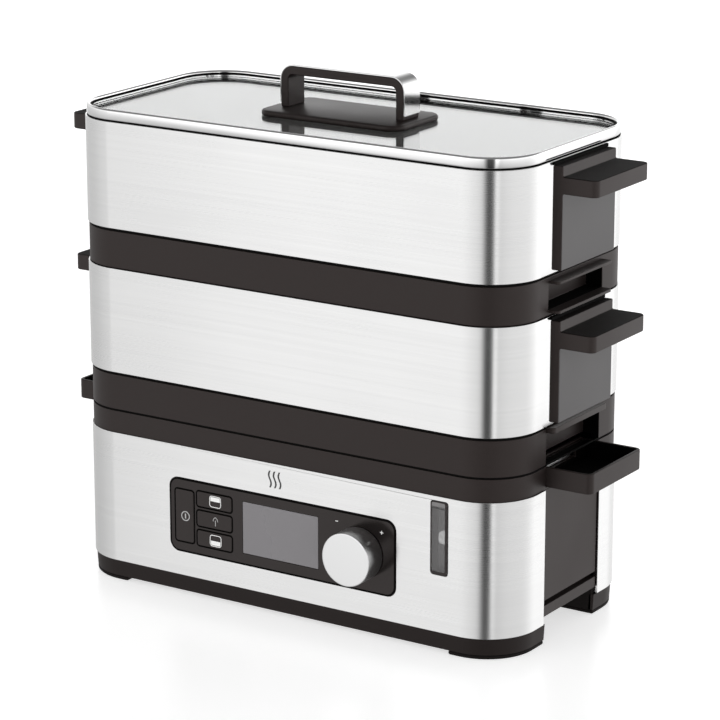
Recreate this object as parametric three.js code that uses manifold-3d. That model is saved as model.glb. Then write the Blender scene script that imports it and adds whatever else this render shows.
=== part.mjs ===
// A two-tier electric food steamer: a base with its water tank, heater and controls, two stacked steaming
// tiers that each stand on a drip tray, and a glass lid. Millimetres, +Z up, the front faces -Y.
import * as THREE from 'three';
import { mergeVertices } from 'three/addons/utils/BufferGeometryUtils.js';
import Module from 'manifold-3d';

const wasm = await Module();
wasm.setup();

// driving dimensions
const gap = 0.3;                 // clearance between pieces that meet
const body = { x: 150, y: 73, corner: 31.7 };        // half length, half depth and corner radius of the steel
const bandInset = 0.8;           // the black bands stand back from the steel by this
const steelWall = 1;
const grip = { halfY: 30.3, slabOut: 156.6, ledgeOut: 177.6, ledgeThick: 9.6, corner: 4 };

const footPad = 2.2;
const skirt = { bottom: 2.5, top: 12.2, taper: 0.6, wall: 3 };
const panFloor = { bottom: 16.5, top: 19, endTop: 23 };
const base = { steelBottom: 12.5, steelTop: 92.1, rimTop: 105.2, housingBottom: 19.3 };
const trayHeight = 23.2;
const tierHeight = 62.6;
const storey = trayHeight + tierHeight + 2 * gap;    // height from one tray's foot to the next one's
const trayBottom = [base.rimTop + gap, base.rimTop + gap + storey];
const tierBottom = trayBottom.map((z) => z + trayHeight + gap);
const stackTop = tierBottom[1] + tierHeight;
const pocketBack = 139;          // how far in the tray's finger pockets reach
const trayLips = [               // heights above the tray's foot, and how far out each lip reaches
  { top: { low: 19.4, high: 22.8, out: 154.2 } },
  { top: { low: 18.2, high: 19.8, out: 155.8 }, foot: { low: 1.7, high: 3.4, out: 155.8 } },
];
const steamHole = 30;            // radius of the steam opening through each tray
const heaterY = 5;               // the tank and the steam opening sit a little behind the centre

const lid = { rimBottom: stackTop + 0.9, rimTop: stackTop + 7, glassBottom: stackTop + 0.2, glassThick: 3 };
const arch = { halfX: 41.4, halfY: 8.5, thick: 5, outer: 8, inner: 3.6, height: 23.7 };
const plate = { x: 48, y: 25, corner: 9, thick: 3.1 };
const trimThick = 0.8;
const trimFoot = 2.2;            // the black foot left bare below the arch's bright strip

const panel = { x: 77.8, z: 22.4, corner: 6, midZ: 49.8, front: -73.3, back: -72 };
const knob = { x: 54.4, z: 49.8, radius: 15.6, back: -73.9, front: -88.6 };
const glandOut = 4;              // the rear gland stands this far out of the steel
const buttons = [                // low x, high x, low z, high z
  { name: 'power_button', box: [-73.7, -60.8, 33.8, 65.5] },
  { name: 'upper_tier_button', box: [-58.3, -33.8, 57.4, 66.5] },
  { name: 'steam_button', box: [-58.3, -33.8, 45.4, 54.8] },
  { name: 'lower_tier_button', box: [-58.3, -33.8, 33.4, 42.8] },
];
const display = [-26, 26, 34.5, 65.7];
const gauge = [101, 111.6, 46.6, 89.2];
const float = { x: 102.3, y: -60.4, z: 64.3, radius: 3.8 };

// the origin is the middle of the whole footprint, and the knob stands out further than the gland does
const shiftY = -(knob.front + (body.y + glandOut)) / 2;

// finishes
const finishes = {
  steel: { color: 0xd4d4d2, roughness: 0.28, metalness: 1 },
  chrome: { color: 0xe6e6e6, roughness: 0.08, metalness: 1 },
  black: { color: 0x35322f, roughness: 0.55, metalness: 0 },
  gloss: { color: 0x2a2725, roughness: 0.15, metalness: 0 },
  display: { color: 0x7f7d7f, roughness: 0.2, metalness: 0 },
  glass: { color: 0xe8eeee, roughness: 0.05, metalness: 0 },
  smoked: { color: 0x6c6a68, roughness: 0.1, metalness: 0 },
  board: { color: 0x2f5a3a, roughness: 0.6, metalness: 0 },
  silicone: { color: 0x262524, roughness: 0.7, metalness: 0 },
  white: { color: 0xe8e6e0, roughness: 0.4, metalness: 0 },
};

// shapes
function roundedRect(x0, x1, y0, y1, r, hole = false) {
  const s = hole ? new THREE.Path() : new THREE.Shape();
  s.moveTo(x0 + r, y0);
  s.lineTo(x1 - r, y0);
  s.absarc(x1 - r, y0 + r, r, -Math.PI / 2, 0, false);
  s.lineTo(x1, y1 - r);
  s.absarc(x1 - r, y1 - r, r, 0, Math.PI / 2, false);
  s.lineTo(x0 + r, y1);
  s.absarc(x0 + r, y1 - r, r, Math.PI / 2, Math.PI, false);
  s.lineTo(x0, y0 + r);
  s.absarc(x0 + r, y0 + r, r, Math.PI, 1.5 * Math.PI, false);
  return s;
}

// a plan outline concentric with the body, set in from the steel
function planShape(inset, hole = false) {
  const { x, y, corner } = body;
  return roundedRect(-x + inset, x - inset, -y + inset, y - inset, Math.max(corner - inset, 6), hole);
}

function upright(shape, z0, z1, steps = 6) {
  const g = new THREE.ExtrudeGeometry(shape, { depth: z1 - z0, bevelEnabled: false, curveSegments: steps });
  return g.translate(0, 0, z0);
}

// an outline drawn in X and Z, from yFront back to yBack
function facing(shape, yFront, yBack, steps = 5) {
  const depth = yBack - yFront;
  const g = new THREE.ExtrudeGeometry(shape, { depth, bevelEnabled: false, curveSegments: steps });
  return g.rotateX(Math.PI / 2).translate(0, yBack, 0);
}

function block(x0, x1, y0, y1, z0, z1) {
  const g = new THREE.BoxGeometry(x1 - x0, y1 - y0, z1 - z0);
  return g.translate((x0 + x1) / 2, (y0 + y1) / 2, (z0 + z1) / 2);
}

function wallRing(inset, wall, z0, z1) {
  const s = planShape(inset);
  s.holes.push(planShape(inset + wall, true));
  return upright(s, z0, z1);
}

function turned(points, segments = 24) {
  const profile = points.map(([r, z]) => new THREE.Vector2(r, z));
  return new THREE.LatheGeometry(profile, segments).rotateX(Math.PI / 2);
}

function rod(radius, z0, z1, segments = 16) {
  const g = new THREE.CylinderGeometry(radius, radius, z1 - z0, segments).rotateX(Math.PI / 2);
  return g.translate(0, 0, (z0 + z1) / 2);
}

// a rod along Y
function crossRod(radius, y0, y1, segments = 16) {
  return new THREE.CylinderGeometry(radius, radius, y1 - y0, segments).translate(0, (y0 + y1) / 2, 0);
}

// joining and cutting
function toSolid(geometry) {
  let g = geometry.clone();
  g.deleteAttribute('normal');
  if (g.getAttribute('uv')) g.deleteAttribute('uv');
  g = mergeVertices(g, 1e-4);
  const mesh = new wasm.Mesh({
    numProp: 3,
    vertProperties: new Float32Array(g.getAttribute('position').array),
    triVerts: new Uint32Array(g.getIndex().array),
  });
  return new wasm.Manifold(mesh);
}

function toGeometry(solid) {
  const mesh = solid.getMesh();
  const g = new THREE.BufferGeometry();
  g.setAttribute('position', new THREE.BufferAttribute(new Float32Array(mesh.vertProperties), 3));
  g.setIndex(new THREE.BufferAttribute(new Uint32Array(mesh.triVerts), 1));
  return g;
}

const join = (...parts) => toGeometry(parts.map(toSolid).reduce((a, b) => a.add(b)));
const cut = (part, ...tools) => toGeometry(tools.map(toSolid).reduce((a, b) => a.subtract(b), toSolid(part)));
const keep = (part, zone) => toGeometry(toSolid(part).intersect(toSolid(zone)));
const bothEnds = (make) => [make(1), make(-1)];

// draws the lower part of a geometry in towards the middle
function taper(geometry, top, bottom, inset) {
  const p = geometry.getAttribute('position');
  for (let i = 0; i < p.count; i += 1) {
    const k = (inset * Math.max(0, top - p.getZ(i))) / (top - bottom);
    p.setX(i, p.getX(i) - Math.sign(p.getX(i)) * k);
    p.setY(i, p.getY(i) - Math.sign(p.getY(i)) * k);
  }
  return geometry;
}

// a block at one end of the body: side is 1 or -1
function endBlock(side, xIn, xOut, halfY, z0, z1) {
  return block(Math.min(side * xIn, side * xOut), Math.max(side * xIn, side * xOut), -halfY, halfY, z0, z1);
}

const steamer = new THREE.Group();
steamer.position.y = shiftY;

function addPart(name, geometry, finish) {
  geometry.computeVertexNormals();
  const mesh = new THREE.Mesh(geometry, new THREE.MeshStandardMaterial(finishes[finish]));
  mesh.name = name;
  steamer.add(mesh);
}

// base: feet, pan, shells and housing
const corners = [['front_left', -1, -1], ['front_right', 1, -1], ['rear_left', -1, 1], ['rear_right', 1, 1]];
const legInX = 111.5;
const legInY = 28.5;

function cornerZone(sx, sy, z0, z1) {
  const far = 200;
  return block(
    Math.min(sx * legInX, sx * far), Math.max(sx * legInX, sx * far),
    Math.min(sy * legInY, sy * far), Math.max(sy * legInY, sy * far), z0, z1,
  );
}

function makeFeet() {
  for (const [name, sx, sy] of corners) {
    const pad = taper(upright(planShape(bandInset + skirt.taper), 0, footPad), footPad, 0, 0.8);
    addPart(`foot_${name}`, keep(pad, cornerZone(sx, sy, -1, skirt.bottom)), 'black');
  }
}

const screwSpots = [[-100, -45], [100, -45], [-100, 45], [100, 45]];

function makePan() {
  const floor = upright(planShape(bandInset + 1), panFloor.bottom, panFloor.top);
  const behindSteel = wallRing(steelWall + 0.4, 2.4, skirt.top - 0.5, panFloor.top);
  const drawnIn = (g) => taper(g, skirt.top, skirt.bottom, skirt.taper);
  const skirtRing = drawnIn(wallRing(bandInset, skirt.wall, skirt.bottom, skirt.top));
  const legs = corners.map(([, sx, sy]) => keep(
    drawnIn(upright(planShape(bandInset), skirt.bottom, skirt.top)),
    cornerZone(sx, sy, 0, skirt.top + 1),
  ));
  const legTops = corners.map(([, sx, sy]) => keep(
    upright(planShape(steelWall + 0.4), skirt.top - 0.5, panFloor.bottom + 0.5),
    cornerZone(sx, sy, 0, panFloor.top),
  ));
  const solid = join(floor, behindSteel, skirtRing, ...legs, ...legTops);
  const endGaps = bothEnds((s) => endBlock(s, 120, 160, legInY, 0, panFloor.bottom));
  const endTrims = bothEnds((s) => endBlock(s, 146.5, 160, 32.6, panFloor.bottom - 6, panFloor.top + 1));
  const strips = [
    ...bothEnds((s) => endBlock(s, 144, 149, grip.halfY, panFloor.bottom, panFloor.top)),
    ...bothEnds((s) => endBlock(s, 147, 149, grip.halfY, panFloor.bottom, panFloor.endTop)),
  ];
  const holes = screwSpots.map(([x, y]) => rod(2.2, 10, 30, 10).translate(x, y, 0));
  const railGap = block(-200, 200, -legInY, legInY, skirt.bottom - 1, skirt.top + 1);
  addPart('base_pan', cut(join(cut(solid, ...endGaps, ...endTrims, railGap), ...strips), ...holes), 'black');
  screwSpots.forEach(([x, y], i) => {
    const profile = [[0, 13.6], [3.2, 13.6], [4, 14.2], [4, 16.2], [1.8, 16.2], [1.8, 24.6], [0, 24.6]];
    addPart(`base_screw_${i + 1}`, turned(profile, 12).translate(x, y, 0), 'steel');
  });
}

const panelHole = (grow) => roundedRect(
  -panel.x - grow, panel.x + grow,
  panel.midZ - panel.z - grow, panel.midZ + panel.z + grow, panel.corner + grow,
);
const gland = { x: -100, z: 44, radius: 7 };
const edgeHalfY = 31.2;          // where the two steel shells stop at each end

function makeShells() {
  const ring = wallRing(0, steelWall, base.steelBottom, base.steelTop);
  for (const [name, sy] of [['base_front_shell', -1], ['base_rear_shell', 1]]) {
    const [near, far] = [sy * edgeHalfY, sy * 100].sort((a, b) => a - b);
    const half = block(-200, 200, near, far, 0, 120);
    const y = [sy * edgeHalfY, sy * (edgeHalfY + steelWall)].sort((a, b) => a - b);
    const returns = [-1, 1].map((s) => block(
      Math.min(s * 147, s * 149.5), Math.max(s * 147, s * 149.5), y[0], y[1], base.steelBottom, base.steelTop,
    ));
    let shell = join(keep(ring, half), ...returns);
    if (sy < 0) {
      const gaugeHole = roundedRect(gauge[0] - 0.4, gauge[1] + 0.4, gauge[2] - 0.4, gauge[3] + 0.4, 1.9);
      shell = cut(shell, facing(panelHole(0.4), -80, -60, 6), facing(gaugeHole, -80, -60, 4));
    } else {
      shell = cut(shell, crossRod(gland.radius + 0.4, 60, 80).translate(gland.x, 0, gland.z));
    }
    addPart(name, shell, 'steel');
  }
}

function makeHousing() {
  const wall = upright(planShape(steelWall + 0.3), base.housingBottom, base.steelTop);
  const rim = upright(planShape(bandInset), base.steelTop, base.rimTop);
  const inside = upright(planShape(5.8), 0, base.steelTop);
  const ledgeHole = upright(planShape(13), 0, 120);
  const rimHole = upright(planShape(3), 97, 120);
  const recess = bothEnds((s) => endBlock(s, 146.7, 160, 32.6, 0, base.steelTop));
  const cupGaps = bothEnds((s) => endBlock(s, 138.9, 160, grip.halfY, 93.2, 120));
  const panelWindow = facing(roundedRect(-75, 75, 30.5, 69.5, 3), -80, -60, 3);
  const gaugeWindow = block(102.4, 110.2, -80, -60, 48, 87.8);
  const glandHole = crossRod(gland.radius + 0.4, 60, 80).translate(gland.x, 0, gland.z);
  const solid = join(wall, rim);
  const tools = [inside, ledgeHole, rimHole, ...recess, ...cupGaps, panelWindow, gaugeWindow, glandHole];
  addPart('base_housing', cut(solid, ...tools), 'black');
  for (const [name, side] of [['base_end_panel_left', -1], ['base_end_panel_right', 1]]) {
    addPart(name, endBlock(side, 147, 149, grip.halfY, 26, base.steelTop), 'black');
  }
}

function makeInlets() {
  for (const [name, side] of [['water_inlet_left', -1], ['water_inlet_right', 1]]) {
    const half = grip.halfY - 0.3;
    const outer = upright(gripPlan(139.3, grip.ledgeOut, half, grip.corner), 93.5, base.rimTop, 4);
    const inner = upright(gripPlan(141.3, grip.ledgeOut - 2, half - 2, 2.2), 95.5, 120, 4);
    const slot = block(130, 142, -18, 18, 97.4, 120);
    const cup = cut(outer, inner, slot);
    addPart(name, side > 0 ? cup : cup.rotateZ(Math.PI), 'black');
  }
}

// the plan of a ledge or cup: square where it meets the body, round at its two outer corners
function gripPlan(xIn, xOut, halfY, r) {
  const s = new THREE.Shape();
  s.moveTo(xIn, -halfY);
  s.lineTo(xOut - r, -halfY);
  s.absarc(xOut - r, -halfY + r, r, -Math.PI / 2, 0, false);
  s.lineTo(xOut, halfY - r);
  s.absarc(xOut - r, halfY - r, r, 0, Math.PI / 2, false);
  s.lineTo(xIn, halfY);
  return s;
}

// base: water tank and heater
function makeTank() {
  const tank = { x: 118, y0: -44, y1: 58, corner: 20, bottom: 38, top: 97.3 };
  const flange = cut(
    upright(planShape(3.4), tank.top, tank.top + 1.5),
    ...bothEnds((s) => endBlock(s, 138.6, 160, grip.halfY + 0.3, 90, 110)),
  );
  const basinPlan = roundedRect(-tank.x, tank.x, tank.y0, tank.y1, tank.corner);
  const basin = upright(basinPlan, tank.bottom, tank.top + 0.5, 6);
  const w = 1.5;
  const hollow = roundedRect(-tank.x + w, tank.x - w, tank.y0 + w, tank.y1 - w, tank.corner - w);
  addPart('water_tank', cut(join(flange, basin), upright(hollow, tank.bottom + w, 120, 6)), 'steel');

  const disc = turned([[0, 39.8], [44, 39.8], [44, 42.6], [41, 43.6], [0, 43.6]], 24);
  addPart('heating_plate', disc.translate(0, heaterY, 0), 'steel');
  const coil = turned([[27, 31], [35, 31], [35, 37.6], [27, 37.6], [27, 31]], 20);
  addPart('heater_coil', coil.translate(0, heaterY, 0), 'steel');
  const thermostat = turned([[0, 30], [9, 30], [9, 36], [6, 37.6], [0, 37.6]], 16);
  addPart('thermostat', thermostat.translate(0, heaterY, 0), 'black');

  const guide = turned([[33, 44.2], [36, 44.2], [36, 60], [29, 96], [29, 103.6], [26.5, 103.6], [26.5, 95.6],
    [33, 59.6], [33, 44.2]], 20).translate(0, heaterY, 0);
  const slots = [0, 1].map((i) => (
    block(-60, 60, -5, 5, 40, 50).rotateZ((i * Math.PI) / 2).translate(0, heaterY, 0)
  ));
  addPart('steam_guide', cut(guide, ...slots), 'black');
}

function makeElectrics() {
  const board = block(-62, 62, -36, 46, 22.6, 24.2);
  const relay = block(-50, -26, -20, 0, 24, 30);
  const capacitor = block(24, 48, -24, -10, 24, 29.4);
  addPart('power_board', join(board, relay, capacitor), 'board');
  addPart('control_board', block(-74, 74, -62, -60.4, 31, 69), 'board');
  const body_ = crossRod(gland.radius, 66, body.y + 0.6);
  const flange = crossRod(gland.radius + 3, body.y + gap, body.y + glandOut, 20);
  const bore = crossRod(3.6, 50, 90, 12);
  addPart('cord_gland', cut(join(body_, flange), bore).translate(gland.x, 0, gland.z), 'black');
}

// base: controls
function makeControls() {
  const boxShape = ([x0, x1, z0, z1], grow, r) => roundedRect(x0 - grow, x1 + grow, z0 - grow, z1 + grow, r);
  const holes = buttons.map((b) => facing(boxShape(b.box, 0.4, 1.9), -80, -60, 2));
  const screenHole = facing(boxShape(display, gap, 0.6), -80, -60, 2);
  const shaftHole = crossRod(5.2, -80, -60).translate(knob.x, 0, knob.z);
  const plateSolid = facing(panelHole(0), panel.front, panel.back, 6);
  addPart('control_panel', cut(plateSolid, ...holes, screenHole, shaftHole), 'gloss');

  addPart('display_window', facing(boxShape(display, 0, 0.4), panel.front, panel.back, 2), 'display');
  addPart('display_module', block(-28, 28, -71.6, -65, 32.5, 67.6), 'black');

  for (const b of buttons) {
    const cap = facing(boxShape(b.box, 0, 1.5), -73.6, -69, 2);
    const flange = facing(boxShape(b.box, 0.8, 1.5), -71.4, -70.4, 1);
    addPart(b.name, join(cap, flange), 'gloss');
  }

  const depth = knob.back - knob.front;
  const profile = [
    [0, depth - 4], [3.3, depth - 4], [3.3, 0], [knob.radius, 0],
    [knob.radius, depth - 1.7], [knob.radius - 0.4, depth - 0.5], [knob.radius - 1.6, depth], [0, depth],
  ];
  const cap = turned(profile, 32).rotateX(Math.PI / 2);
  addPart('knob', cap.translate(knob.x, knob.back, knob.z), 'chrome');
  addPart('knob_shaft', crossRod(3, knob.front + 4.3, -64).translate(knob.x, 0, knob.z), 'steel');
  const encoderBody = block(-6.5, 6.5, -70, -62.4, -6.5, 6.5);
  const encoder = cut(join(encoderBody, crossRod(4.6, -73, -69)), crossRod(3.3, -90, -50));
  addPart('knob_encoder', encoder.translate(knob.x, 0, knob.z), 'steel');
}

function makeGauge() {
  const [x0, x1, z0, z1] = gauge;
  addPart('gauge_window', facing(roundedRect(x0, x1, z0, z1, 1.5), -73.2, -72, 4), 'smoked');
  const tube = block(float.x - 6.3, float.x + 6.3, -66.8, -54, 44, 92);
  const hollow = block(float.x - 4.8, float.x + 4.8, -65.3, -55.5, 45.5, 100);
  addPart('gauge_tube', cut(tube, hollow), 'glass');
  const ball = new THREE.SphereGeometry(float.radius, 12, 8).rotateX(Math.PI / 2);
  addPart('gauge_float', ball.translate(float.x, float.y, float.z), 'white');
}

// drip trays and steaming tiers
function makeTray(name, z0, lips) {
  const z1 = z0 + trayHeight;
  const bandSolid = upright(planShape(bandInset), z0, z1);
  const hollow = upright(roundedRect(-136.5, 136.5, -69.2, 69.2, 18), z0 - 1, z1 + 1, 5);
  const floor = upright(roundedRect(-137, 137, -69.7, 69.7, 18.5), z0 + 3, z0 + 5, 5);
  const plug = cut(wallRing(3.4, 2, z0 - 4, z0 + 1), ...bothEnds((s) => endBlock(s, 120, 160, 31.2, 0, z0)));
  const collar = rod(steamHole + 2.4, z0 + 3, z0 + 17, 24).translate(0, heaterY, 0);
  const steam = rod(steamHole, z0 - 10, z0 + 40, 24).translate(0, heaterY, 0);
  const pocketBottom = z0 + (lips.foot ? lips.foot.high : -1);
  const pockets = bothEnds((s) => endBlock(s, pocketBack, 160, grip.halfY, pocketBottom, z0 + lips.top.low));
  const ledges = Object.values(lips).flatMap(({ low, high, out }) => (
    bothEnds((s) => endBlock(s, 145, out, grip.halfY, z0 + low, z0 + high))
  ));
  const shell = join(cut(bandSolid, hollow), floor, plug);
  addPart(name, cut(join(cut(shell, ...pockets), ...ledges, collar), steam), 'black');
}

function makeTier(prefix, z0) {
  const wall = wallRing(0, steelWall, z0, z0 + tierHeight);
  const flange = wallRing(steelWall / 2, 11, z0 + 0.6, z0 + 1.6);
  addPart(`${prefix}_body`, join(wall, flange), 'steel');

  const grate = upright(planShape(2), z0 + 2, z0 + 3);
  const holes = [];
  for (let ix = -4; ix <= 4; ix += 1) {
    for (let iy = -1; iy <= 1; iy += 1) {
      holes.push(rod(5, z0, z0 + 5, 8).translate(ix * 28, iy * 34, 0));
    }
  }
  addPart(`${prefix}_grate`, cut(grate, ...holes), 'steel');

  for (const [side, s] of [['left', -1], ['right', 1]]) {
    const top = z0 + tierHeight;
    const slab = block(body.x + gap, grip.slabOut, -grip.halfY, grip.halfY, z0 + 2.5, top - 2);
    const plan = gripPlan(body.x + gap, grip.ledgeOut, grip.halfY, grip.corner);
    const ledge = upright(plan, top - 7.8 - grip.ledgeThick, top - 7.8, 4);
    const handle = join(slab, ledge);
    addPart(`${prefix}_handle_${side}`, s > 0 ? handle : handle.rotateZ(Math.PI), 'black');
  }
}

// lid
function archShape(grow, feetZ, topZ, thick) {
  // an upside-down U drawn in X and Z: outer outline, then the inner one back
  const ho = arch.halfX + grow;
  const hi = ho - thick;
  const ro = arch.outer + grow;
  const ri = Math.max(ro - thick, arch.inner);
  const s = new THREE.Shape();
  s.moveTo(-ho, feetZ);
  s.lineTo(-hi, feetZ);
  s.lineTo(-hi, topZ - thick - ri);
  s.absarc(-hi + ri, topZ - thick - ri, ri, Math.PI, Math.PI / 2, true);
  s.lineTo(hi - ri, topZ - thick);
  s.absarc(hi - ri, topZ - thick - ri, ri, Math.PI / 2, 0, true);
  s.lineTo(hi, feetZ);
  s.lineTo(ho, feetZ);
  s.lineTo(ho, topZ - ro);
  s.absarc(ho - ro, topZ - ro, ro, 0, Math.PI / 2, false);
  s.lineTo(-ho + ro, topZ);
  s.absarc(-ho + ro, topZ - ro, ro, Math.PI / 2, Math.PI, false);
  return s;
}

function makeLid() {
  const glassTop = lid.glassBottom + lid.glassThick;
  const plateBottom = glassTop + gap;
  const archFeet = plateBottom + plate.thick + gap;
  const archTop = archFeet + arch.height;
  const legX = arch.halfX - arch.thick / 2;
  const drill = (r, z0, z1) => [-legX, legX].map((x) => rod(r, z0, z1, 12).translate(x, 0, 0));

  addPart('lid_rim', wallRing(bandInset, 2.6, lid.rimBottom, lid.rimTop), 'chrome');
  const sealSkirt = wallRing(2.2, 8, lid.glassBottom - 3, lid.glassBottom - gap);
  const sealEdge = wallRing(2.2, 1.2, lid.glassBottom - 1, lid.rimBottom - gap);
  addPart('lid_seal', join(sealSkirt, sealEdge), 'silicone');
  const glass = upright(planShape(3.8), lid.glassBottom, glassTop);
  addPart('lid_glass', cut(glass, ...drill(2.6, 200, 400)), 'glass');

  const { x, y, corner, thick } = plate;
  const plateSolid = upright(roundedRect(-x, x, -y, y, corner), plateBottom, plateBottom + thick, 6);
  addPart('lid_handle_plate', cut(plateSolid, ...drill(2.6, 200, 400)), 'black');

  const archSolid = facing(archShape(0, archFeet, archTop, arch.thick), -arch.halfY, arch.halfY, 6);
  const screwTip = archFeet + 6;
  addPart('lid_handle_arch', cut(archSolid, ...drill(2.1, archFeet - 1, screwTip + 0.5)), 'black');
  const trimOut = gap + trimThick;
  const trim = facing(archShape(trimOut, archFeet + trimFoot, archTop + trimOut, trimThick), -8.2, 8.2, 6);
  addPart('lid_handle_trim', trim, 'chrome');

  [-legX, legX].forEach((sx, i) => {
    const head = lid.glassBottom - gap;
    const points = [[0, head - 2.4], [4, head - 2.4], [5, head - 1], [5, head], [1.8, head], [1.8, screwTip],
      [0, screwTip]];
    addPart(`lid_screw_${i + 1}`, turned(points, 12).translate(sx, 0, 0), 'steel');
  });
}

makeFeet();
makePan();
makeShells();
makeHousing();
makeInlets();
makeTank();
makeElectrics();
makeControls();
makeGauge();
makeTray('lower_tray', trayBottom[0], trayLips[0]);
makeTier('lower_tier', tierBottom[0]);
makeTray('upper_tray', trayBottom[1], trayLips[1]);
makeTier('upper_tier', tierBottom[1]);
makeLid();
steamer.updateMatrixWorld(true);

export default steamer;
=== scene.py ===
# A two-tier electric food steamer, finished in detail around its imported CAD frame.
# Pieces are shaped in millimetres and turned into metres when they are finished.
import math

import bmesh
import bpy
from mathutils import Matrix, Vector


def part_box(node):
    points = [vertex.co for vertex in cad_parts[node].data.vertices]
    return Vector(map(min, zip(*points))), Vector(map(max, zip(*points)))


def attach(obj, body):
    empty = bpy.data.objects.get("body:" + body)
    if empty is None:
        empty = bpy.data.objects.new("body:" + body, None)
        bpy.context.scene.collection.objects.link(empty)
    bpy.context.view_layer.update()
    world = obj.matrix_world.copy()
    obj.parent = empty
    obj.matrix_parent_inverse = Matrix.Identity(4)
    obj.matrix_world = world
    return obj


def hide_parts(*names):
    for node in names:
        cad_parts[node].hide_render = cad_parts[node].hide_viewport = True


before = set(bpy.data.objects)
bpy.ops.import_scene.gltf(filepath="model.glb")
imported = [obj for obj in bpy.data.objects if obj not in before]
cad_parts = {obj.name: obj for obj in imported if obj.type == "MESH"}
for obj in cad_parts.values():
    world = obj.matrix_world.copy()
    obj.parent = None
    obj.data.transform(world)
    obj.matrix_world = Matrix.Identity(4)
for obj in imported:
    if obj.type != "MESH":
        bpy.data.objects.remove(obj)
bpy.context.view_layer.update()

mm = 0.001


def boxOf(node):
    low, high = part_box(node)
    return low / mm, high / mm


cameraSetup = {
    "aim": (11.2, -0.5, 140.2),  # mm
    "azimuth": 32.81,  # degrees round from the front towards the right-hand end
    "pitch": 15.70,  # degrees down
    "distance": 1800.0,
    "lens": 155.1,
}


def makeCamera():
    azimuth = math.radians(cameraSetup["azimuth"])
    pitch = math.radians(cameraSetup["pitch"])
    level = math.cos(pitch)
    forward = Vector((-math.sin(azimuth) * level, math.cos(azimuth) * level, -math.sin(pitch)))
    camera = bpy.data.objects.new("camera", bpy.data.cameras.new("camera"))
    camera.data.lens = cameraSetup["lens"]
    camera.data.sensor_width = 36.0
    camera.data.clip_start = 0.05
    camera.data.clip_end = 60.0
    camera.location = (Vector(cameraSetup["aim"]) - forward * cameraSetup["distance"]) * mm
    camera.rotation_euler = forward.to_track_quat("-Z", "Y").to_euler()
    bpy.context.scene.collection.objects.link(camera)
    bpy.context.scene.camera = camera


studio = {
    "floorTone": 0.80,
    "floorGlow": 0.62,  # the table is lit a little from below
    "floorRoughness": 0.30,
    "backdrop": 1.0,  # what the camera sees past the table
    # brightness all round at table height: degrees from the front towards the right-hand end, and strength
    "surround": [
        (-180, 1.10), (-147, 1.00), (-120, 0.68), (-80, 0.80), (-55, 0.94), (-39, 1.00), (-36, 1.43), (-33, 1.43),
        (-29, 1.34), (-20, 1.32), (-8, 1.22), (7, 1.10), (14, 0.96), (20, 0.35), (24, 0.08), (33, 0.08),
        (37, 0.25), (40, 1.42), (44, 1.38), (49, 0.95), (58, 1.05), (75, 1.12), (112, 1.16), (125, 1.30),
        (140, 1.56), (154, 1.56), (165, 1.25), (180, 1.10),
    ],
    "low": 0.45,  # the surround's strength straight down and just above the horizon, as a share of the above
    "level": 1.45,
    "fadeFrom": 20.0,  # the surround fades between these heights above the horizon, in degrees
    "fadeTo": 34.0,
    "overhead": 0.28,
}


def makeWorld():
    world = bpy.data.worlds.new("studioWorld")
    bpy.context.scene.world = world
    world.use_nodes = True
    tree = world.node_tree
    background = tree.nodes["Background"]
    coords = addNode(tree, "ShaderNodeTexCoord")
    split = addNode(tree, "ShaderNodeSeparateXYZ")
    tree.links.new(coords.outputs["Generated"], split.inputs[0])
    facing = maths(tree, "ARCTAN2", split.outputs["X"], maths(tree, "MULTIPLY", split.outputs["Y"], -1.0))
    ramp = addNode(tree, "ShaderNodeValToRGB")
    tree.links.new(ranged(tree, facing, -math.pi, math.pi, 0.0, 1.0), ramp.inputs["Fac"])
    brightest = max(strength for _, strength in studio["surround"])
    stops = ramp.color_ramp.elements
    for number, (degrees, strength) in enumerate(studio["surround"]):
        place = (degrees + 180) / 360
        stop = stops[number] if number < 2 else stops.new(place)
        stop.position = place
        stop.color = (*(strength / brightest,) * 3, 1)
    shading = ranged(tree, split.outputs["Z"], -0.8, 0.1, studio["low"] * brightest, studio["level"] * brightest)
    around = maths(tree, "MULTIPLY", ramp.outputs["Color"], shading)
    fade = ranged(tree, split.outputs["Z"], math.sin(math.radians(studio["fadeFrom"])),
                  math.sin(math.radians(studio["fadeTo"])), 0.0, 1.0)
    mixed = maths(tree, "MULTIPLY_ADD", fade, maths(tree, "MULTIPLY_ADD", around, -1.0, studio["overhead"]), around)
    seen = addNode(tree, "ShaderNodeLightPath").outputs["Is Camera Ray"]
    plain = maths(tree, "MULTIPLY_ADD", seen, maths(tree, "MULTIPLY_ADD", mixed, -1.0, studio["backdrop"]), mixed)
    tree.links.new(plain, background.inputs["Strength"])
    background.inputs["Color"].default_value = (1, 1, 1, 1)


def makeStudio():
    makeWorld()
    bm = bmesh.new()
    bmesh.ops.create_grid(bm, x_segments=8, y_segments=8, size=6.0)
    mesh = bpy.data.meshes.new("floor")
    bm.to_mesh(mesh)
    bm.free()
    floor = bpy.data.objects.new("floor", mesh)
    bpy.context.scene.collection.objects.link(floor)
    mesh.materials.append(floorPaper())
    floor.visible_glossy = False
    bpy.context.scene.view_settings.view_transform = "Standard"


def newMaterial(name):
    material = bpy.data.materials.new(name)
    material.use_nodes = True
    tree = material.node_tree
    return material, tree, tree.nodes["Principled BSDF"]


def addNode(tree, kind, **settings):
    node = tree.nodes.new(kind)
    for key, value in settings.items():
        setattr(node, key, value)
    return node


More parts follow.
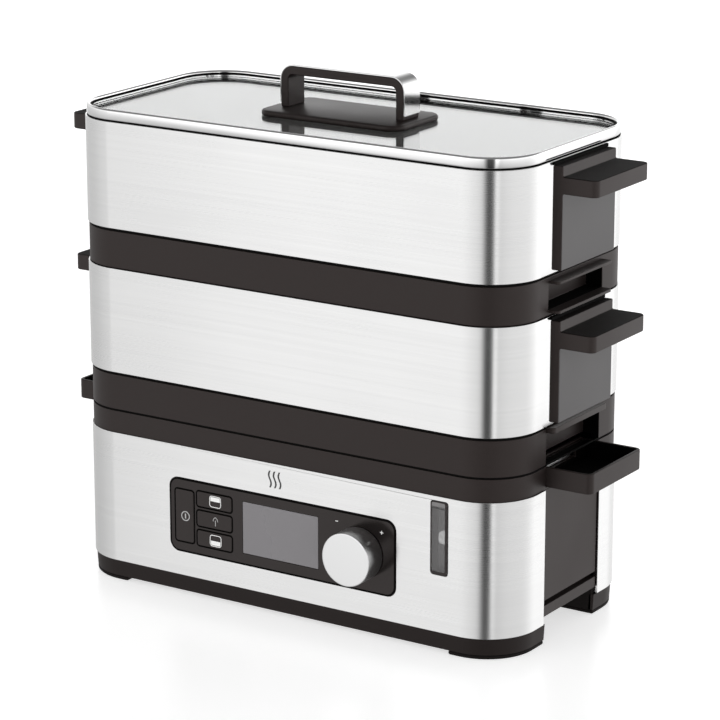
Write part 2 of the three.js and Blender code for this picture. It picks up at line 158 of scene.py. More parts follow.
def objectCoords(tree, scale=(1, 1, 1), turn=(0, 0, 0), offset=(0, 0, 0)):
    coords = addNode(tree, "ShaderNodeTexCoord")
    mapping = addNode(tree, "ShaderNodeMapping")
    mapping.inputs["Scale"].default_value = scale
    mapping.inputs["Rotation"].default_value = turn
    mapping.inputs["Location"].default_value = offset
    tree.links.new(coords.outputs["Object"], mapping.inputs["Vector"])
    return mapping.outputs["Vector"]


def noiseOn(tree, vector, scale, detail=3.0, roughness=0.55):
    noise = addNode(tree, "ShaderNodeTexNoise")
    noise.inputs["Scale"].default_value = scale
    noise.inputs["Detail"].default_value = detail
    noise.inputs["Roughness"].default_value = roughness
    tree.links.new(vector, noise.inputs["Vector"])
    return noise.outputs["Fac"]


def ranged(tree, value, fromLow, fromHigh, toLow, toHigh):
    node = addNode(tree, "ShaderNodeMapRange")
    for key, number in (("From Min", fromLow), ("From Max", fromHigh), ("To Min", toLow), ("To Max", toHigh)):
        node.inputs[key].default_value = number
    tree.links.new(value, node.inputs["Value"])
    return node.outputs["Result"]


def blended(tree, factor, colourA, colourB):
    mix = addNode(tree, "ShaderNodeMix", data_type="RGBA")
    mix.inputs["A"].default_value = (*colourA, 1)
    mix.inputs["B"].default_value = (*colourB, 1)
    tree.links.new(factor, mix.inputs["Factor"])
    return mix.outputs["Result"]


def addBump(tree, shader, height, strength, distance):
    bump = addNode(tree, "ShaderNodeBump")
    bump.inputs["Strength"].default_value = strength
    bump.inputs["Distance"].default_value = distance
    tree.links.new(height, bump.inputs["Height"])
    tree.links.new(bump.outputs["Normal"], shader.inputs["Normal"])


def maths(tree, operation, *values):
    node = addNode(tree, "ShaderNodeMath", operation=operation)
    for socket, value in zip(node.inputs, values):
        if isinstance(value, (int, float)):
            socket.default_value = value
        else:
            tree.links.new(value, socket)
    return node.outputs[0]


def floorPaper():
    material, tree, shader = newMaterial("floorPaper")
    tone = studio["floorTone"]
    shader.inputs["Emission Color"].default_value = (1, 1, 1, 1)
    shader.inputs["Emission Strength"].default_value = studio["floorGlow"]
    grain = noiseOn(tree, objectCoords(tree), 3.0)
    colour = blended(tree, grain, (tone - 0.01,) * 3, (tone + 0.01,) * 3)
    tree.links.new(colour, shader.inputs["Base Color"])
    shader.inputs["Roughness"].default_value = studio["floorRoughness"]
    return material


steelLook = {
    "dark": (0.605, 0.604, 0.603),
    "light": (0.645, 0.644, 0.642),
    "roughLow": 0.24,
    "roughHigh": 0.29,
    "bandShare": 0.12,  # how coarse the broad bands are beside the fine lines
    "stretch": 0.85,  # how much further the shine spreads across the lines than along them
    "grainLength": 3.0,  # grain cells in a metre along the brushing
    "grainFineness": 3400.0,  # and across it
    "bump": 0.012,
}


def brushedSteel(name, across="Z", dull=0.0):
    # across is the axis that the fine lines repeat along
    material, tree, shader = newMaterial(name)
    long, fine = steelLook["grainLength"], steelLook["grainFineness"]
    scale = tuple(fine if axis == across else long for axis in "XYZ")
    grain = noiseOn(tree, objectCoords(tree, scale), 1.0, 5.0, 0.65)
    broad = tuple(s * (steelLook["bandShare"] if s == fine else 1) for s in scale)
    bands = noiseOn(tree, objectCoords(tree, broad), 1.0, 2.0)
    smears = noiseOn(tree, objectCoords(tree), 9.0, 3.0)
    mixed = addNode(tree, "ShaderNodeMath", operation="MULTIPLY_ADD")
    mixed.inputs[1].default_value = 0.35
    tree.links.new(bands, mixed.inputs[0])
    tree.links.new(ranged(tree, grain, 0.0, 1.0, 0.0, 0.65), mixed.inputs[2])
    factor = ranged(tree, mixed.outputs[0], 0.3, 0.7, 0.0, 1.0)
    tree.links.new(blended(tree, factor, steelLook["dark"], steelLook["light"]), shader.inputs["Base Color"])
    rough = addNode(tree, "ShaderNodeMath", operation="ADD", use_clamp=True)
    low, high = steelLook["roughLow"] + dull, steelLook["roughHigh"] + dull
    tree.links.new(ranged(tree, factor, 0.0, 1.0, high, low), rough.inputs[0])
    tree.links.new(ranged(tree, smears, 0.3, 0.7, -0.03, 0.03), rough.inputs[1])
    tree.links.new(rough.outputs[0], shader.inputs["Roughness"])
    shader.inputs["Metallic"].default_value = 1.0
    shader.inputs["Anisotropic"].default_value = steelLook["stretch"]
    shader.inputs["Anisotropic Rotation"].default_value = 0.25
    addBump(tree, shader, grain, steelLook["bump"], 0.00003)
    return material


def polishedMetal(name, tone=0.68, rough=0.05):
    material, tree, shader = newMaterial(name)
    haze = noiseOn(tree, objectCoords(tree), 60.0, 4.0)
    fine = noiseOn(tree, objectCoords(tree), 900.0, 2.0)
    tree.links.new(blended(tree, haze, (tone - 0.02,) * 3, (tone + 0.02,) * 3), shader.inputs["Base Color"])
    tree.links.new(ranged(tree, haze, 0.3, 0.7, rough, rough + 0.05), shader.inputs["Roughness"])
    shader.inputs["Metallic"].default_value = 1.0
    addBump(tree, shader, fine, 0.02, 0.00002)
    return material


def mouldedPlastic(name, base, rough, grain, variation, gloss, sheen):
    material, tree, shader = newMaterial(name)
    shader.inputs["Specular IOR Level"].default_value = gloss
    shader.inputs["Specular Tint"].default_value = (*sheen, 1)
    broad = noiseOn(tree, objectCoords(tree), 14.0, 4.0)
    fine = noiseOn(tree, objectCoords(tree), 2600.0, 3.0, 0.6)
    dark = tuple(c * (1 - variation) for c in base)
    light = tuple(c * (1 + variation) for c in base)
    tree.links.new(blended(tree, broad, dark, light), shader.inputs["Base Color"])
    tree.links.new(ranged(tree, broad, 0.3, 0.7, rough - 0.04, rough + 0.04), shader.inputs["Roughness"])
    addBump(tree, shader, fine, grain, 0.00005)
    return material


def clearGlass(name, tint, rough=0.01):
    material, tree, shader = newMaterial(name)
    wipe = noiseOn(tree, objectCoords(tree), 22.0, 4.0)
    tree.links.new(ranged(tree, wipe, 0.35, 0.75, rough, rough + 0.03), shader.inputs["Roughness"])
    shader.inputs["Base Color"].default_value = (*tint, 1)
    shader.inputs["Transmission Weight"].default_value = 1.0
    shader.inputs["IOR"].default_value = 1.5
    return material


def paintGlow(key, strength):
    # painted light: a faint glow for what stands inside the gauge, though it is no lamp
    shader = materials[key].node_tree.nodes["Principled BSDF"]
    shader.inputs["Emission Color"].default_value = (1, 1, 1, 1)
    shader.inputs["Emission Strength"].default_value = strength


def tintedPane(name, tint, cover, rough=0.06):
    # a thin pane whose tint covers part of what stands behind it
    material, tree, shader = newMaterial(name)
    wipe = noiseOn(tree, objectCoords(tree), 60.0, 3.0)
    tree.links.new(ranged(tree, wipe, 0.35, 0.75, rough, rough + 0.03), shader.inputs["Roughness"])
    tree.links.new(blended(tree, wipe, tuple(c * 0.97 for c in tint), tuple(c * 1.03 for c in tint)),
                   shader.inputs["Base Color"])
    shader.inputs["Alpha"].default_value = cover
    return material


materials = {}


warmBlack, warmSheen, plainSheen = (0.0150, 0.0108, 0.0100), (1.0, 0.90, 0.88), (1, 1, 1)
plasticLooks = {  # name, colour, roughness, grain, variation, gloss and the tint of its reflections
    "plastic": ("mattBlackPlastic", warmBlack, 0.50, 0.15, 0.25, 0.30, warmSheen),
    # painted shade: a darker, matter copy of the black for the ledges' tops and the feet
    "handleTop": ("paintedShadeMattPlastic", (0.0075, 0.0058, 0.0054), 0.70, 0.2, 0.25, 0.10, plainSheen),
    # painted light: a paler copy of the black for the slabs' broad outer faces
    "paintedLightFace": ("paintedLightFacePlastic", (0.068, 0.0645, 0.0655), 0.45, 0.15, 0.04, 0.34, plainSheen),
    "handle": ("handlePlastic", warmBlack, 0.48, 0.15, 0.25, 0.34, warmSheen),
    "plasticSmooth": ("satinBlackPlastic", warmBlack, 0.42, 0.08, 0.25, 0.32, warmSheen),
    "skirt": ("skirtPlastic", (0.0098, 0.0070, 0.0065), 0.55, 0.15, 0.25, 0.20, warmSheen),
    # painted shade: a near-black finish laid where there is only shade, in the tray pockets, the inlet cups, the
    # strips above the handles' slabs and the lines round the panel and keys
    "shadow": ("paintedShadeBlack", (0.0015, 0.0013, 0.0012), 0.8, 0.1, 0.25, 0.04, plainSheen),
    "gloss": ("glossBlackPanel", (0.010, 0.0080, 0.0076), 0.12, 0.0, 0.1, 0.30, warmSheen),
    "key": ("keyBlack", (0.012, 0.0096, 0.0090), 0.24, 0.05, 0.1, 0.31, warmSheen),
    "screen": ("unlitScreen", (0.198, 0.189, 0.198), 0.28, 0.0, 0.03, 0.5, plainSheen),
    "whitePaint": ("whiteMark", (0.92, 0.92, 0.91), 0.45, 0.05, 0.04, 0.5, plainSheen),
    "greyPaint": ("greyMark", (0.50, 0.50, 0.50), 0.45, 0.05, 0.04, 0.5, plainSheen),
    "bandPaint": ("bandMark", (0.19, 0.185, 0.185), 0.45, 0.05, 0.04, 0.5, plainSheen),
    "blackPaint": ("blackMark", (0.02, 0.02, 0.02), 0.4, 0.05, 0.1, 0.5, plainSheen),
    "float": ("floatWhite", (0.90, 0.89, 0.86), 0.35, 0.08, 0.05, 0.5, plainSheen),
    "backing": ("gaugeBacking", (0.62, 0.61, 0.61), 0.45, 0.1, 0.04, 0.5, plainSheen),
    "silicone": ("sealSilicone", (0.0030, 0.0028, 0.0027), 0.75, 0.15, 0.25, 0.08, plainSheen),
    "board": ("boardGreen", (0.02, 0.085, 0.035), 0.4, 0.1, 0.3, 0.5, plainSheen),
}
# painted light: how strongly the float and the backing glow
paintedGlow = {"float": 1.2, "backing": 0.10}


def makeMaterials():
    materials["steel"] = brushedSteel("brushedSteelUpright")
    materials["steelFlat"] = brushedSteel("brushedSteelFlat", across="Y", dull=0.06)
    materials["steelInside"] = polishedMetal("satinSteelInside", 0.80, 0.42)
    materials["knobFace"] = polishedMetal("satinKnobFace", 0.66, 0.30)
    materials["knobSide"] = polishedMetal("satinKnobSide", 0.66, 0.30)
    materials["polished"] = polishedMetal("polishedSteel")
    materials["trim"] = polishedMetal("handleTrimSteel", 0.58, 0.08)
    for key, look in plasticLooks.items():
        materials[key] = mouldedPlastic(*look)
    materials["glass"] = clearGlass("lidGlass", (0.97, 0.99, 0.98))
    materials["smoked"] = tintedPane("smokedWindow", (0.17, 0.165, 0.165), 0.50)
    materials["clear"] = clearGlass("clearTube", (0.95, 0.96, 0.96), 0.04)
    for key, strength in paintedGlow.items():
        paintGlow(key, strength)


# the shaping helpers work in millimetres
def newVerts(bm, before):
    return [v for v in bm.verts if v not in before]


def extruded(bm, faces, step):
    # pulls faces out by a step, and gives the moved corners and faces
    grown = bmesh.ops.extrude_face_region(bm, geom=faces)
    moved = [g for g in grown["geom"] if isinstance(g, bmesh.types.BMVert)]
    bmesh.ops.translate(bm, verts=moved, vec=step)
    return moved, [g for g in grown["geom"] if isinstance(g, bmesh.types.BMFace)]


def outline(bm, x0, x1, y0, y1, radius, z, segments=12, roundCorners=(0, 1, 2, 3)):
    # one flat face with round corners, counted from (x0, y0) anticlockwise
    facesBefore = set(bm.faces)
    corners = [bm.verts.new(p) for p in ((x0, y0, z), (x1, y0, z), (x1, y1, z), (x0, y1, z))]
    bm.faces.new(corners)
    if radius > 0:
        bmesh.ops.bevel(bm, geom=[corners[i] for i in roundCorners], offset=radius, offset_type="OFFSET",
                        segments=segments, profile=0.5, affect="VERTICES", material=-1)
    return [f for f in bm.faces if f not in facesBefore][0]


def loopOf(bm, *args, **kwargs):
    face = outline(bm, *args, **kwargs)
    edges = list(face.edges)
    bmesh.ops.delete(bm, geom=[face], context="FACES_ONLY")
    return edges


def prism(bm, x0, x1, y0, y1, radius, z0, z1, segments=12, roundCorners=(0, 1, 2, 3)):
    before = set(bm.verts)
    face = outline(bm, x0, x1, y0, y1, radius, z0, segments, roundCorners)
    extruded(bm, [face], (0, 0, z1 - z0))
    return newVerts(bm, before)


def turnToFront(bm, verts, yBack):
    # what was drawn in X and Y, and raised along Z, faces the front with its foot at yBack
    bmesh.ops.rotate(bm, verts=verts, cent=(0, 0, 0), matrix=Matrix.Rotation(math.pi / 2, 3, "X"))
    bmesh.ops.translate(bm, verts=verts, vec=(0, yBack, 0))


def frontPrism(bm, x0, x1, z0, z1, radius, yFront, yBack, segments=8):
    verts = prism(bm, x0, x1, z0, z1, radius, 0, yBack - yFront, segments)
    turnToFront(bm, verts, yBack)
    return verts


def ringStack(bm, rings, segments=24):
    # closed wall: each ring is (x0, x1, y0, y1, radius, z), and the last is joined to the first
    loops = [loopOf(bm, *ring, segments=segments) for ring in rings]
    for a, b in zip(loops, loops[1:] + loops[:1]):
        bmesh.ops.bridge_loops(bm, edges=a + b)


def cappedStack(bm, rings, segments):
    # a closed block: the rings joined in turn, and a face across the first and the last
    loops = [loopOf(bm, *ring, segments=segments) for ring in rings]
    for a, b in zip(loops, loops[1:]):
        bmesh.ops.bridge_loops(bm, edges=a + b)
    for loop in (loops[0], loops[-1]):
        bmesh.ops.contextual_create(bm, geom=loop)


def lathe(bm, points, centre, axis="Z", steps=48):
    # points are (radius, height); the profile starts and ends on the axis, or closes on itself
    verts = [bm.verts.new((r, 0, h)) for r, h in points]
    edges = [bm.edges.new(pair) for pair in zip(verts, verts[1:])]
    if points[0][0] > 0:
        edges.append(bm.edges.new((verts[-1], verts[0])))
    before = set(bm.verts) - set(verts)
    bmesh.ops.spin(bm, geom=verts + edges, cent=(0, 0, 0), axis=(0, 0, 1), angle=math.tau, steps=steps, use_merge=True)
    made = newVerts(bm, before)
    bmesh.ops.remove_doubles(bm, verts=made, dist=0.001)
    made = newVerts(bm, before)
    if axis == "Y":  # the profile's height runs towards the front
        bmesh.ops.rotate(bm, verts=made, cent=(0, 0, 0), matrix=Matrix.Rotation(math.pi / 2, 3, "X"))
    bmesh.ops.translate(bm, verts=made, vec=centre)
    return made


def finishPiece(name, bm, body, material, nodes=(), bevel=0.4, bevelSegments=2, sharp=28.0, wall=0.0):
    bmesh.ops.remove_doubles(bm, verts=list(bm.verts), dist=0.0005)
    if wall == 0.0:
        bmesh.ops.recalc_face_normals(bm, faces=list(bm.faces))
    bmesh.ops.scale(bm, verts=list(bm.verts), vec=(mm, mm, mm))
    for face in bm.faces:
        face.smooth = True
    for edge in bm.edges:
        edge.smooth = not (edge.is_manifold and edge.calc_face_angle() > math.radians(sharp))
    mesh = bpy.data.meshes.new(name)
    bm.to_mesh(mesh)
    bm.free()
    piece = bpy.data.objects.new(name, mesh)
    bpy.context.scene.collection.objects.link(piece)
    for key in (material if isinstance(material, tuple) else (material,)):
        mesh.materials.append(materials[key])
    if wall:
        sheet = piece.modifiers.new("sheetThickness", "SOLIDIFY")
        sheet.thickness = wall * mm
        sheet.offset = -1.0
        sheet.use_even_offset = True
    if bevel:
        softEdge(piece, bevel, bevelSegments)
    if body:
        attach(piece, body)
        if nodes:
            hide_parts(*nodes)
    return piece


def softEdge(piece, width, segments=2, angle=28.0):
    edge = piece.modifiers.new("softEdge", "BEVEL")
    edge.width = width * mm
    edge.segments = segments
    edge.limit_method = "ANGLE"
    edge.angle_limit = math.radians(angle)
    edge.harden_normals = True
    edge.miter_outer = "MITER_ARC"


def cutterFrom(bm, name="cutter"):
    return finishPiece(name, bm, None, "plastic", bevel=0)


def blockCutter(x0, x1, y0, y1, z0, z1, radius=0.0, segments=4):
    bm = bmesh.new()
    prism(bm, x0, x1, y0, y1, radius, z0, z1, segments)
    return cutterFrom(bm)


def cutAway(piece, cutters):
    # cuts each cutter out of a piece for good, and puts the piece's edge softening back after it
    waiting = [(m.name, m.type, {k: getattr(m, k) for k in ("width", "segments", "angle_limit")})
               for m in piece.modifiers if m.type == "BEVEL"]
    for m in list(piece.modifiers):
        if m.type == "BEVEL":
            piece.modifiers.remove(m)
    for cutter in cutters:
        step = piece.modifiers.new("cut", "BOOLEAN")
        step.object = cutter
        step.operation = "DIFFERENCE"
        step.solver = "EXACT"
    depsgraph = bpy.context.evaluated_depsgraph_get()
    mesh = bpy.data.meshes.new_from_object(piece.evaluated_get(depsgraph))
    piece.modifiers.clear()
    old = piece.data
    piece.data = mesh
    mesh.name = old.name
    bpy.data.meshes.remove(old)
    for cutter in cutters:
        bpy.data.meshes.remove(cutter.data)
    bm = bmesh.new()
    bm.from_mesh(mesh)
    bmesh.ops.remove_doubles(bm, verts=list(bm.verts), dist=0.000002)
    for edge in bm.edges:
        edge.smooth = not (edge.is_manifold and edge.calc_face_angle() > math.radians(28.0))
    for face in bm.faces:
        face.smooth = True
    bm.to_mesh(mesh)
    bm.free()
    for _, _, values in waiting:
        softEdge(piece, values["width"] / mm, values["segments"], math.degrees(values["angle_limit"]))


# the plan that every storey shares
low, high = boxOf("lower_tier_body")
plan = {
    "halfX": (high.x - low.x) / 2,
    "halfY": (high.y - low.y) / 2,
    "midY": (high.y + low.y) / 2,
    "corner": 31.7,
    "steamY": (high.y + low.y) / 2 + 5.0,  # the steam openings sit a little behind the middle
}


def planRing(inset, z, corner=None):
    radius = max(plan["corner"] - inset, 6.0) if corner is None else corner
    x, y, mid = plan["halfX"] - inset, plan["halfY"] - inset, plan["midY"]
    return (-x, x, mid - y, mid + y, radius, z)


def depthInside(point):
    # how far in from the storeys' outer face a point lies
    r = plan["corner"]
    x, y = abs(point.x) - (plan["halfX"] - r), abs(point.y - plan["midY"]) - (plan["halfY"] - r)
    return r - math.hypot(max(x, 0), max(y, 0)) - min(max(x, y), 0)


def camelName(node):
    return "".join(word.title() if number else word for number, word in enumerate(node.split("_")))


beyondEnd = 170  # past the ends of every storey
keyFlange, keyGap = 0.8, 0.4  # a key's flange past its cap, and the flange past the panel's hole


def endRange(side, xIn, xOut):
    return (min(side * xIn, side * xOut), max(side * xIn, side * xOut))


def endBlock(side, xIn, xOut, halfY, z0, z1):
    x0, x1 = endRange(side, xIn, xOut)
    return blockCutter(x0, x1, plan["midY"] - halfY, plan["midY"] + halfY, z0, z1)


tierForm = {"wall": 1.0, "flangeWidth": 11.0, "flangeThick": 1.0, "flangeRise": 0.6, "rimFold": 2.2}


def makeTier(prefix):
    low, high = boxOf(f"{prefix}_body")
    z0, z1, wall = low.z, high.z, tierForm["wall"]
    rise, thick, fold = tierForm["flangeRise"], tierForm["flangeThick"], tierForm["rimFold"]
    bm = bmesh.new()
    rings = [
        planRing(0, z0), planRing(0, z1), planRing(wall, z1), planRing(wall, z1 - fold),
        planRing(wall, z0 + rise + thick), planRing(tierForm["flangeWidth"], z0 + rise + thick),
        planRing(tierForm["flangeWidth"], z0 + rise), planRing(wall, z0 + rise), planRing(wall, z0),
    ]
    ringStack(bm, rings, segments=32)
    for face in bm.faces:  # the inside is satin all over
        face.material_index = 1 if depthInside(face.calc_center_median()) > 0.7 * wall else 0
    finishPiece(f"{prefix}Body", bm, prefix, ("steel", "steelInside"), [f"{prefix}_body"], bevel=0.3,
                bevelSegments=2)


handleForm = {"slabDepth": 6.3, "ledgeThick": 9.6, "ledgeDrop": 7.8, "ledgeCorner": 4.0, "edge": 0.7}


def makeTierHandles(prefix):
    for side, sign in (("left", -1), ("right", 1)):
        node = f"{prefix}_handle_{side}"
        low, high = boxOf(node)
        xIn, xOut = (low.x, high.x) if sign > 0 else (-high.x, -low.x)
        slabOut = xIn + handleForm["slabDepth"]
        bodyTop = boxOf(f"{prefix}_body")[1].z
        ledgeTop = bodyTop - handleForm["ledgeDrop"]
        ledgeFoot = ledgeTop - handleForm["ledgeThick"]
        bm = bmesh.new()
        prism(bm, xIn, slabOut, low.y, high.y, 0, low.z, high.z)
        cuts = [(0, 0, ledgeFoot), (0, 0, ledgeTop)]
        for place in cuts:  # two level cuts mark out the ledge's root on the slab
            bmesh.ops.bisect_plane(bm, geom=list(bm.verts) + list(bm.edges) + list(bm.faces),
                                   plane_co=place, plane_no=(0, 0, 1))
        root = [f for f in bm.faces if f.normal.x > 0.9 and ledgeFoot < f.calc_center_median().z < ledgeTop]
        tip, _ = extruded(bm, root, (xOut - slabOut, 0, 0))
        bmesh.ops.delete(bm, geom=root, context="FACES")
        tipEdges = [e for e in bm.edges if all(v in tip for v in e.verts)
                    and abs(e.verts[0].co.z - e.verts[1].co.z) > 1]
        bmesh.ops.bevel(bm, geom=tipEdges, offset=handleForm["ledgeCorner"], offset_type="OFFSET", segments=8,
                        profile=0.5, affect="EDGES", material=-1)
        bmesh.ops.recalc_face_normals(bm, faces=list(bm.faces))
        for face in bm.faces:  # painted shade and light: a darker, matter black on top and a paler grey on the broad outer face, for how the light falls on them
            centre = face.calc_center_median()
            if face.normal.z > 0.9:
                face.material_index = 1
            elif face.normal.x > 0.9 and centre.z < ledgeFoot:
                face.material_index = 2
        if sign < 0:
            bmesh.ops.scale(bm, verts=list(bm.verts), vec=(-1, 1, 1))
        handle = finishPiece(f"{prefix}Handle{side.title()}", bm, prefix, ("handle", "handleTop", "paintedLightFace"),
                             [node], bevel=handleForm["edge"], bevelSegments=3)
        handle.visible_glossy = False  # keeps the steel beside it clean


def makeEndShadeStrips(prefix):
    # thin strips in the near-black shadow finish that close the steel off above the handles' slabs: painted shade
    bodyHigh = boxOf(f"{prefix}_body")[1]
    low, high = boxOf(f"{prefix}_handle_right")
    bm = bmesh.new()
    for side in (-1, 1):
        x0, x1 = endRange(side, bodyHigh.x + 0.02, bodyHigh.x + 1.6)
        prism(bm, x0, x1, low.y, high.y, 0, high.z + 0.05, bodyHigh.z - 0.1)
    finishPiece(f"{prefix}EndShadeStrips", bm, prefix, "shadow", [], bevel=0.15)


grateForm = {"columns": 31, "rows": 13, "pitch": 8.6, "hole": 2.1}


def makeGrate(prefix, body):
    low, high = boxOf(f"{prefix}_grate")
    bm = bmesh.new()
    edges = loopOf(bm, *planRing(2.0, low.z), segments=16)
    for column in range(grateForm["columns"]):
        for row in range(grateForm["rows"]):
            x = (column - (grateForm["columns"] - 1) / 2) * grateForm["pitch"]
            y = (row - (grateForm["rows"] - 1) / 2) * grateForm["pitch"] + plan["midY"]
            if (column + row) % 2:
                continue
            before = set(bm.edges)
            bmesh.ops.create_circle(bm, cap_ends=False, segments=12, radius=grateForm["hole"],
                                    matrix=Matrix.Translation((x, y, low.z)))
            edges += [e for e in bm.edges if e not in before]
    bmesh.ops.triangle_fill(bm, edges=edges, use_beauty=True)
    extruded(bm, list(bm.faces), (0, 0, high.z - low.z))
    finishPiece(f"{prefix}Grate", bm, body, "steelFlat", [f"{prefix}_grate"], bevel=0)


trayForm = {
    "inset": 0.8, "innerX": 136.5, "innerY": 69.2, "innerCorner": 18.0, "floorLow": 3.0, "floorHigh": 5.0,
    "plugInset": 3.4, "plugWall": 2.0, "plugDrop": 4.0, "pocketBack": 139.0, "pocketHalfY": 30.3,
    "steamRadius": 30.0, "collarWall": 2.4, "collarTop": 17.0, "webDrop": 3.4,
    "groove": 1.3, "grooveInset": 2.6,  # the step round the top that the seal lies in
    "footSeam": 0.8,  # and the shadow seam where the lower tray meets the base
}
trayLips = {  # low, high and how far out
    "lower_tray": [(19.4, 22.8, 154.2)],
    "upper_tray": [(18.2, 19.8, 155.8), (1.7, 3.4, 155.8)],
}


def makeTray(node):
    low, high = boxOf(node)
    form, mid = trayForm, plan["midY"]
    z1 = high.z
    z0 = low.z + form["plugDrop"]
    inner = (-form["innerX"], form["innerX"], mid - form["innerY"], mid + form["innerY"], form["innerCorner"])

    def roundHole(radius, z):
        y = plan["steamY"]
        return (-radius, radius, y - radius, y + radius, radius - 0.01, z)

    radius, collar = form["steamRadius"], form["steamRadius"] + form["collarWall"]
    seam = form["footSeam"] if node == "lower_tray" else 0.0
    rings = [planRing(form["grooveInset"], z0), planRing(form["grooveInset"], z0 + seam)] if seam else []
    rings += [
        planRing(form["inset"], z0 + seam), planRing(form["inset"], z1 - form["groove"]),
        planRing(form["grooveInset"], z1 - form["groove"]), planRing(form["grooveInset"], z1),
        (*inner, z1), (*inner, z0 + form["floorHigh"]),
        roundHole(collar, z0 + form["floorHigh"]), roundHole(collar, z0 + form["collarTop"]),
        roundHole(radius, z0 + form["collarTop"]), roundHole(radius, z0 + form["floorLow"]),
        planRing(form["plugInset"] + form["plugWall"], z0 + form["floorLow"]),
        planRing(form["plugInset"] + form["plugWall"], z0 - form["plugDrop"]),
        planRing(form["plugInset"], z0 - form["plugDrop"]), planRing(form["plugInset"], z0),
    ]
    bm = bmesh.new()
    ringStack(bm, rings, segments=24)
    name = camelName(node)
    piece = finishPiece(name, bm, node, ("plastic", "shadow"), [node], bevel=0.45)
    lips = trayLips[node]
    pocketFoot = z0 + (lips[1][1] if len(lips) > 1 else -10)
    cutters = []
    for side in (-1, 1):
        cutters.append(endBlock(side, form["pocketBack"], beyondEnd, form["pocketHalfY"], pocketFoot,
                                z0 + lips[0][0]))
        cutters.append(endBlock(side, 142, beyondEnd, 31.2, z0 - form["plugDrop"] - 1, z0))
    cutAway(piece, cutters)
    for polygon in piece.data.polygons:  # painted shade: the pockets take the near-black shadow finish, but for their back walls
        x, y, z = polygon.center / mm
        if (form["pocketBack"] + 0.1 < abs(x) < plan["halfX"] - 1 and abs(y - mid) < form["pocketHalfY"] + 0.1
                and pocketFoot - 0.1 < z < z0 + lips[0][0] + 0.1):
            polygon.material_index = 1
    makeTrayLips(node, name, z0)
    bm = bmesh.new()
    ringStack(bm, [planRing(1.5, z1 - 1.25), planRing(1.2, z1 - 0.5), planRing(1.5, z1 + 0.22),
                   planRing(2.4, z1 + 0.22), planRing(2.4, z1 - 1.25)], segments=24)
    if seam:
        ringStack(bm, [planRing(1.6, z0 - 0.2), planRing(1.6, z0 + seam - 0.05), planRing(2.4, z0 + seam - 0.05),
                       planRing(2.4, z0 - 0.2)], segments=24)
    finishPiece(name + "Seal", bm, node, "silicone", [], bevel=0.1)


def makeTrayLips(node, name, z0):
    half, mid = trayForm["pocketHalfY"], plan["midY"]
    bm = bmesh.new()
    for side in (-1, 1):
        for foot, top, out in trayLips[node]:
            x0, x1 = endRange(side, plan["halfX"] - trayForm["inset"] - 0.5, out)
            rounded = (1, 2) if side > 0 else (0, 3)
            prism(bm, x0, x1, mid - half, mid + half, 2.0, z0 + foot, z0 + top, 5, rounded)
    finishPiece(name + "Lips", bm, node, "handle", [], bevel=0.35, bevelSegments=3)
    if len(trayLips[node]) == 1:  # the pocket's back wall runs down into the base
        bm = bmesh.new()
        for side in (-1, 1):
            x0, x1 = endRange(side, trayForm["innerX"], trayForm["pocketBack"])
            prism(bm, x0, x1, mid - half, mid + half, 0, z0 - trayForm["webDrop"], z0 - 0.02)
        finishPiece(name + "Webs", bm, node, "plastic", [], bevel=0.2)


baseForm = {"edgeHalfY": 31.2, "returnIn": 3.0, "sheet": 1.0, "gapRound": 0.4}
panelForm = {"corner": 6.0, "glandX": -100.0, "glandZ": 44.0, "glandRadius": 7.4}


def shellSheet(bm, sy, holes):
    # front (sy -1) or rear (sy 1) steel: a flat face with its holes, two corners, two ends and their folded edges
    low, high = boxOf("base_front_shell")
    z0, z1, r = low.z, high.z, plan["corner"]
    x, y = plan["halfX"] - r, plan["halfY"]
    frame4 = [bm.verts.new((px, pz, 0)) for px, pz in ((-x, z0), (x, z0), (x, z1), (-x, z1))]
    edges = [bm.edges.new(pair) for pair in zip(frame4, frame4[1:] + frame4[:1])]
    for hole in holes:
        edges += hole(bm)
    bmesh.ops.triangle_fill(bm, edges=edges, use_beauty=True)
    bmesh.ops.rotate(bm, verts=list(bm.verts), cent=(0, 0, 0), matrix=Matrix.Rotation(math.pi / 2, 3, "X"))
    bmesh.ops.translate(bm, verts=list(bm.verts), vec=(0, plan["midY"] - y, 0))
    mid = plan["midY"]
    for sx in (-1, 1):
        edge = [e for e in bm.edges if all(abs(v.co.x - sx * x) < 0.01 for v in e.verts)
                and abs(e.verts[0].co.z - e.verts[1].co.z) > 70]
        swept = bmesh.ops.spin(bm, geom=edge + list(edge[0].verts), cent=(sx * x, mid - y + r, 0), axis=(0, 0, 1),
                               angle=sx * math.pi / 2, steps=32)
        last = [g for g in swept["geom_last"] if isinstance(g, bmesh.types.BMEdge)]
        flatLength = (y - r) - baseForm["edgeHalfY"]
        for step in ((0, flatLength, 0), (-sx * baseForm["returnIn"], 0, 0)):
            grown = bmesh.ops.extrude_edge_only(bm, edges=last)
            verts = [g for g in grown["geom"] if isinstance(g, bmesh.types.BMVert)]
            last = [g for g in grown["geom"] if isinstance(g, bmesh.types.BMEdge)]
            bmesh.ops.translate(bm, verts=verts, vec=step)
    bmesh.ops.remove_doubles(bm, verts=list(bm.verts), dist=0.001)
    bmesh.ops.recalc_face_normals(bm, faces=list(bm.faces))
    front = min(bm.faces, key=lambda f: f.calc_center_median().y)
    if front.normal.y > 0:
        bmesh.ops.reverse_faces(bm, faces=list(bm.faces))
    if sy > 0:
        bmesh.ops.rotate(bm, verts=list(bm.verts), cent=(0, mid, 0), matrix=Matrix.Rotation(math.pi, 3, "Z"))


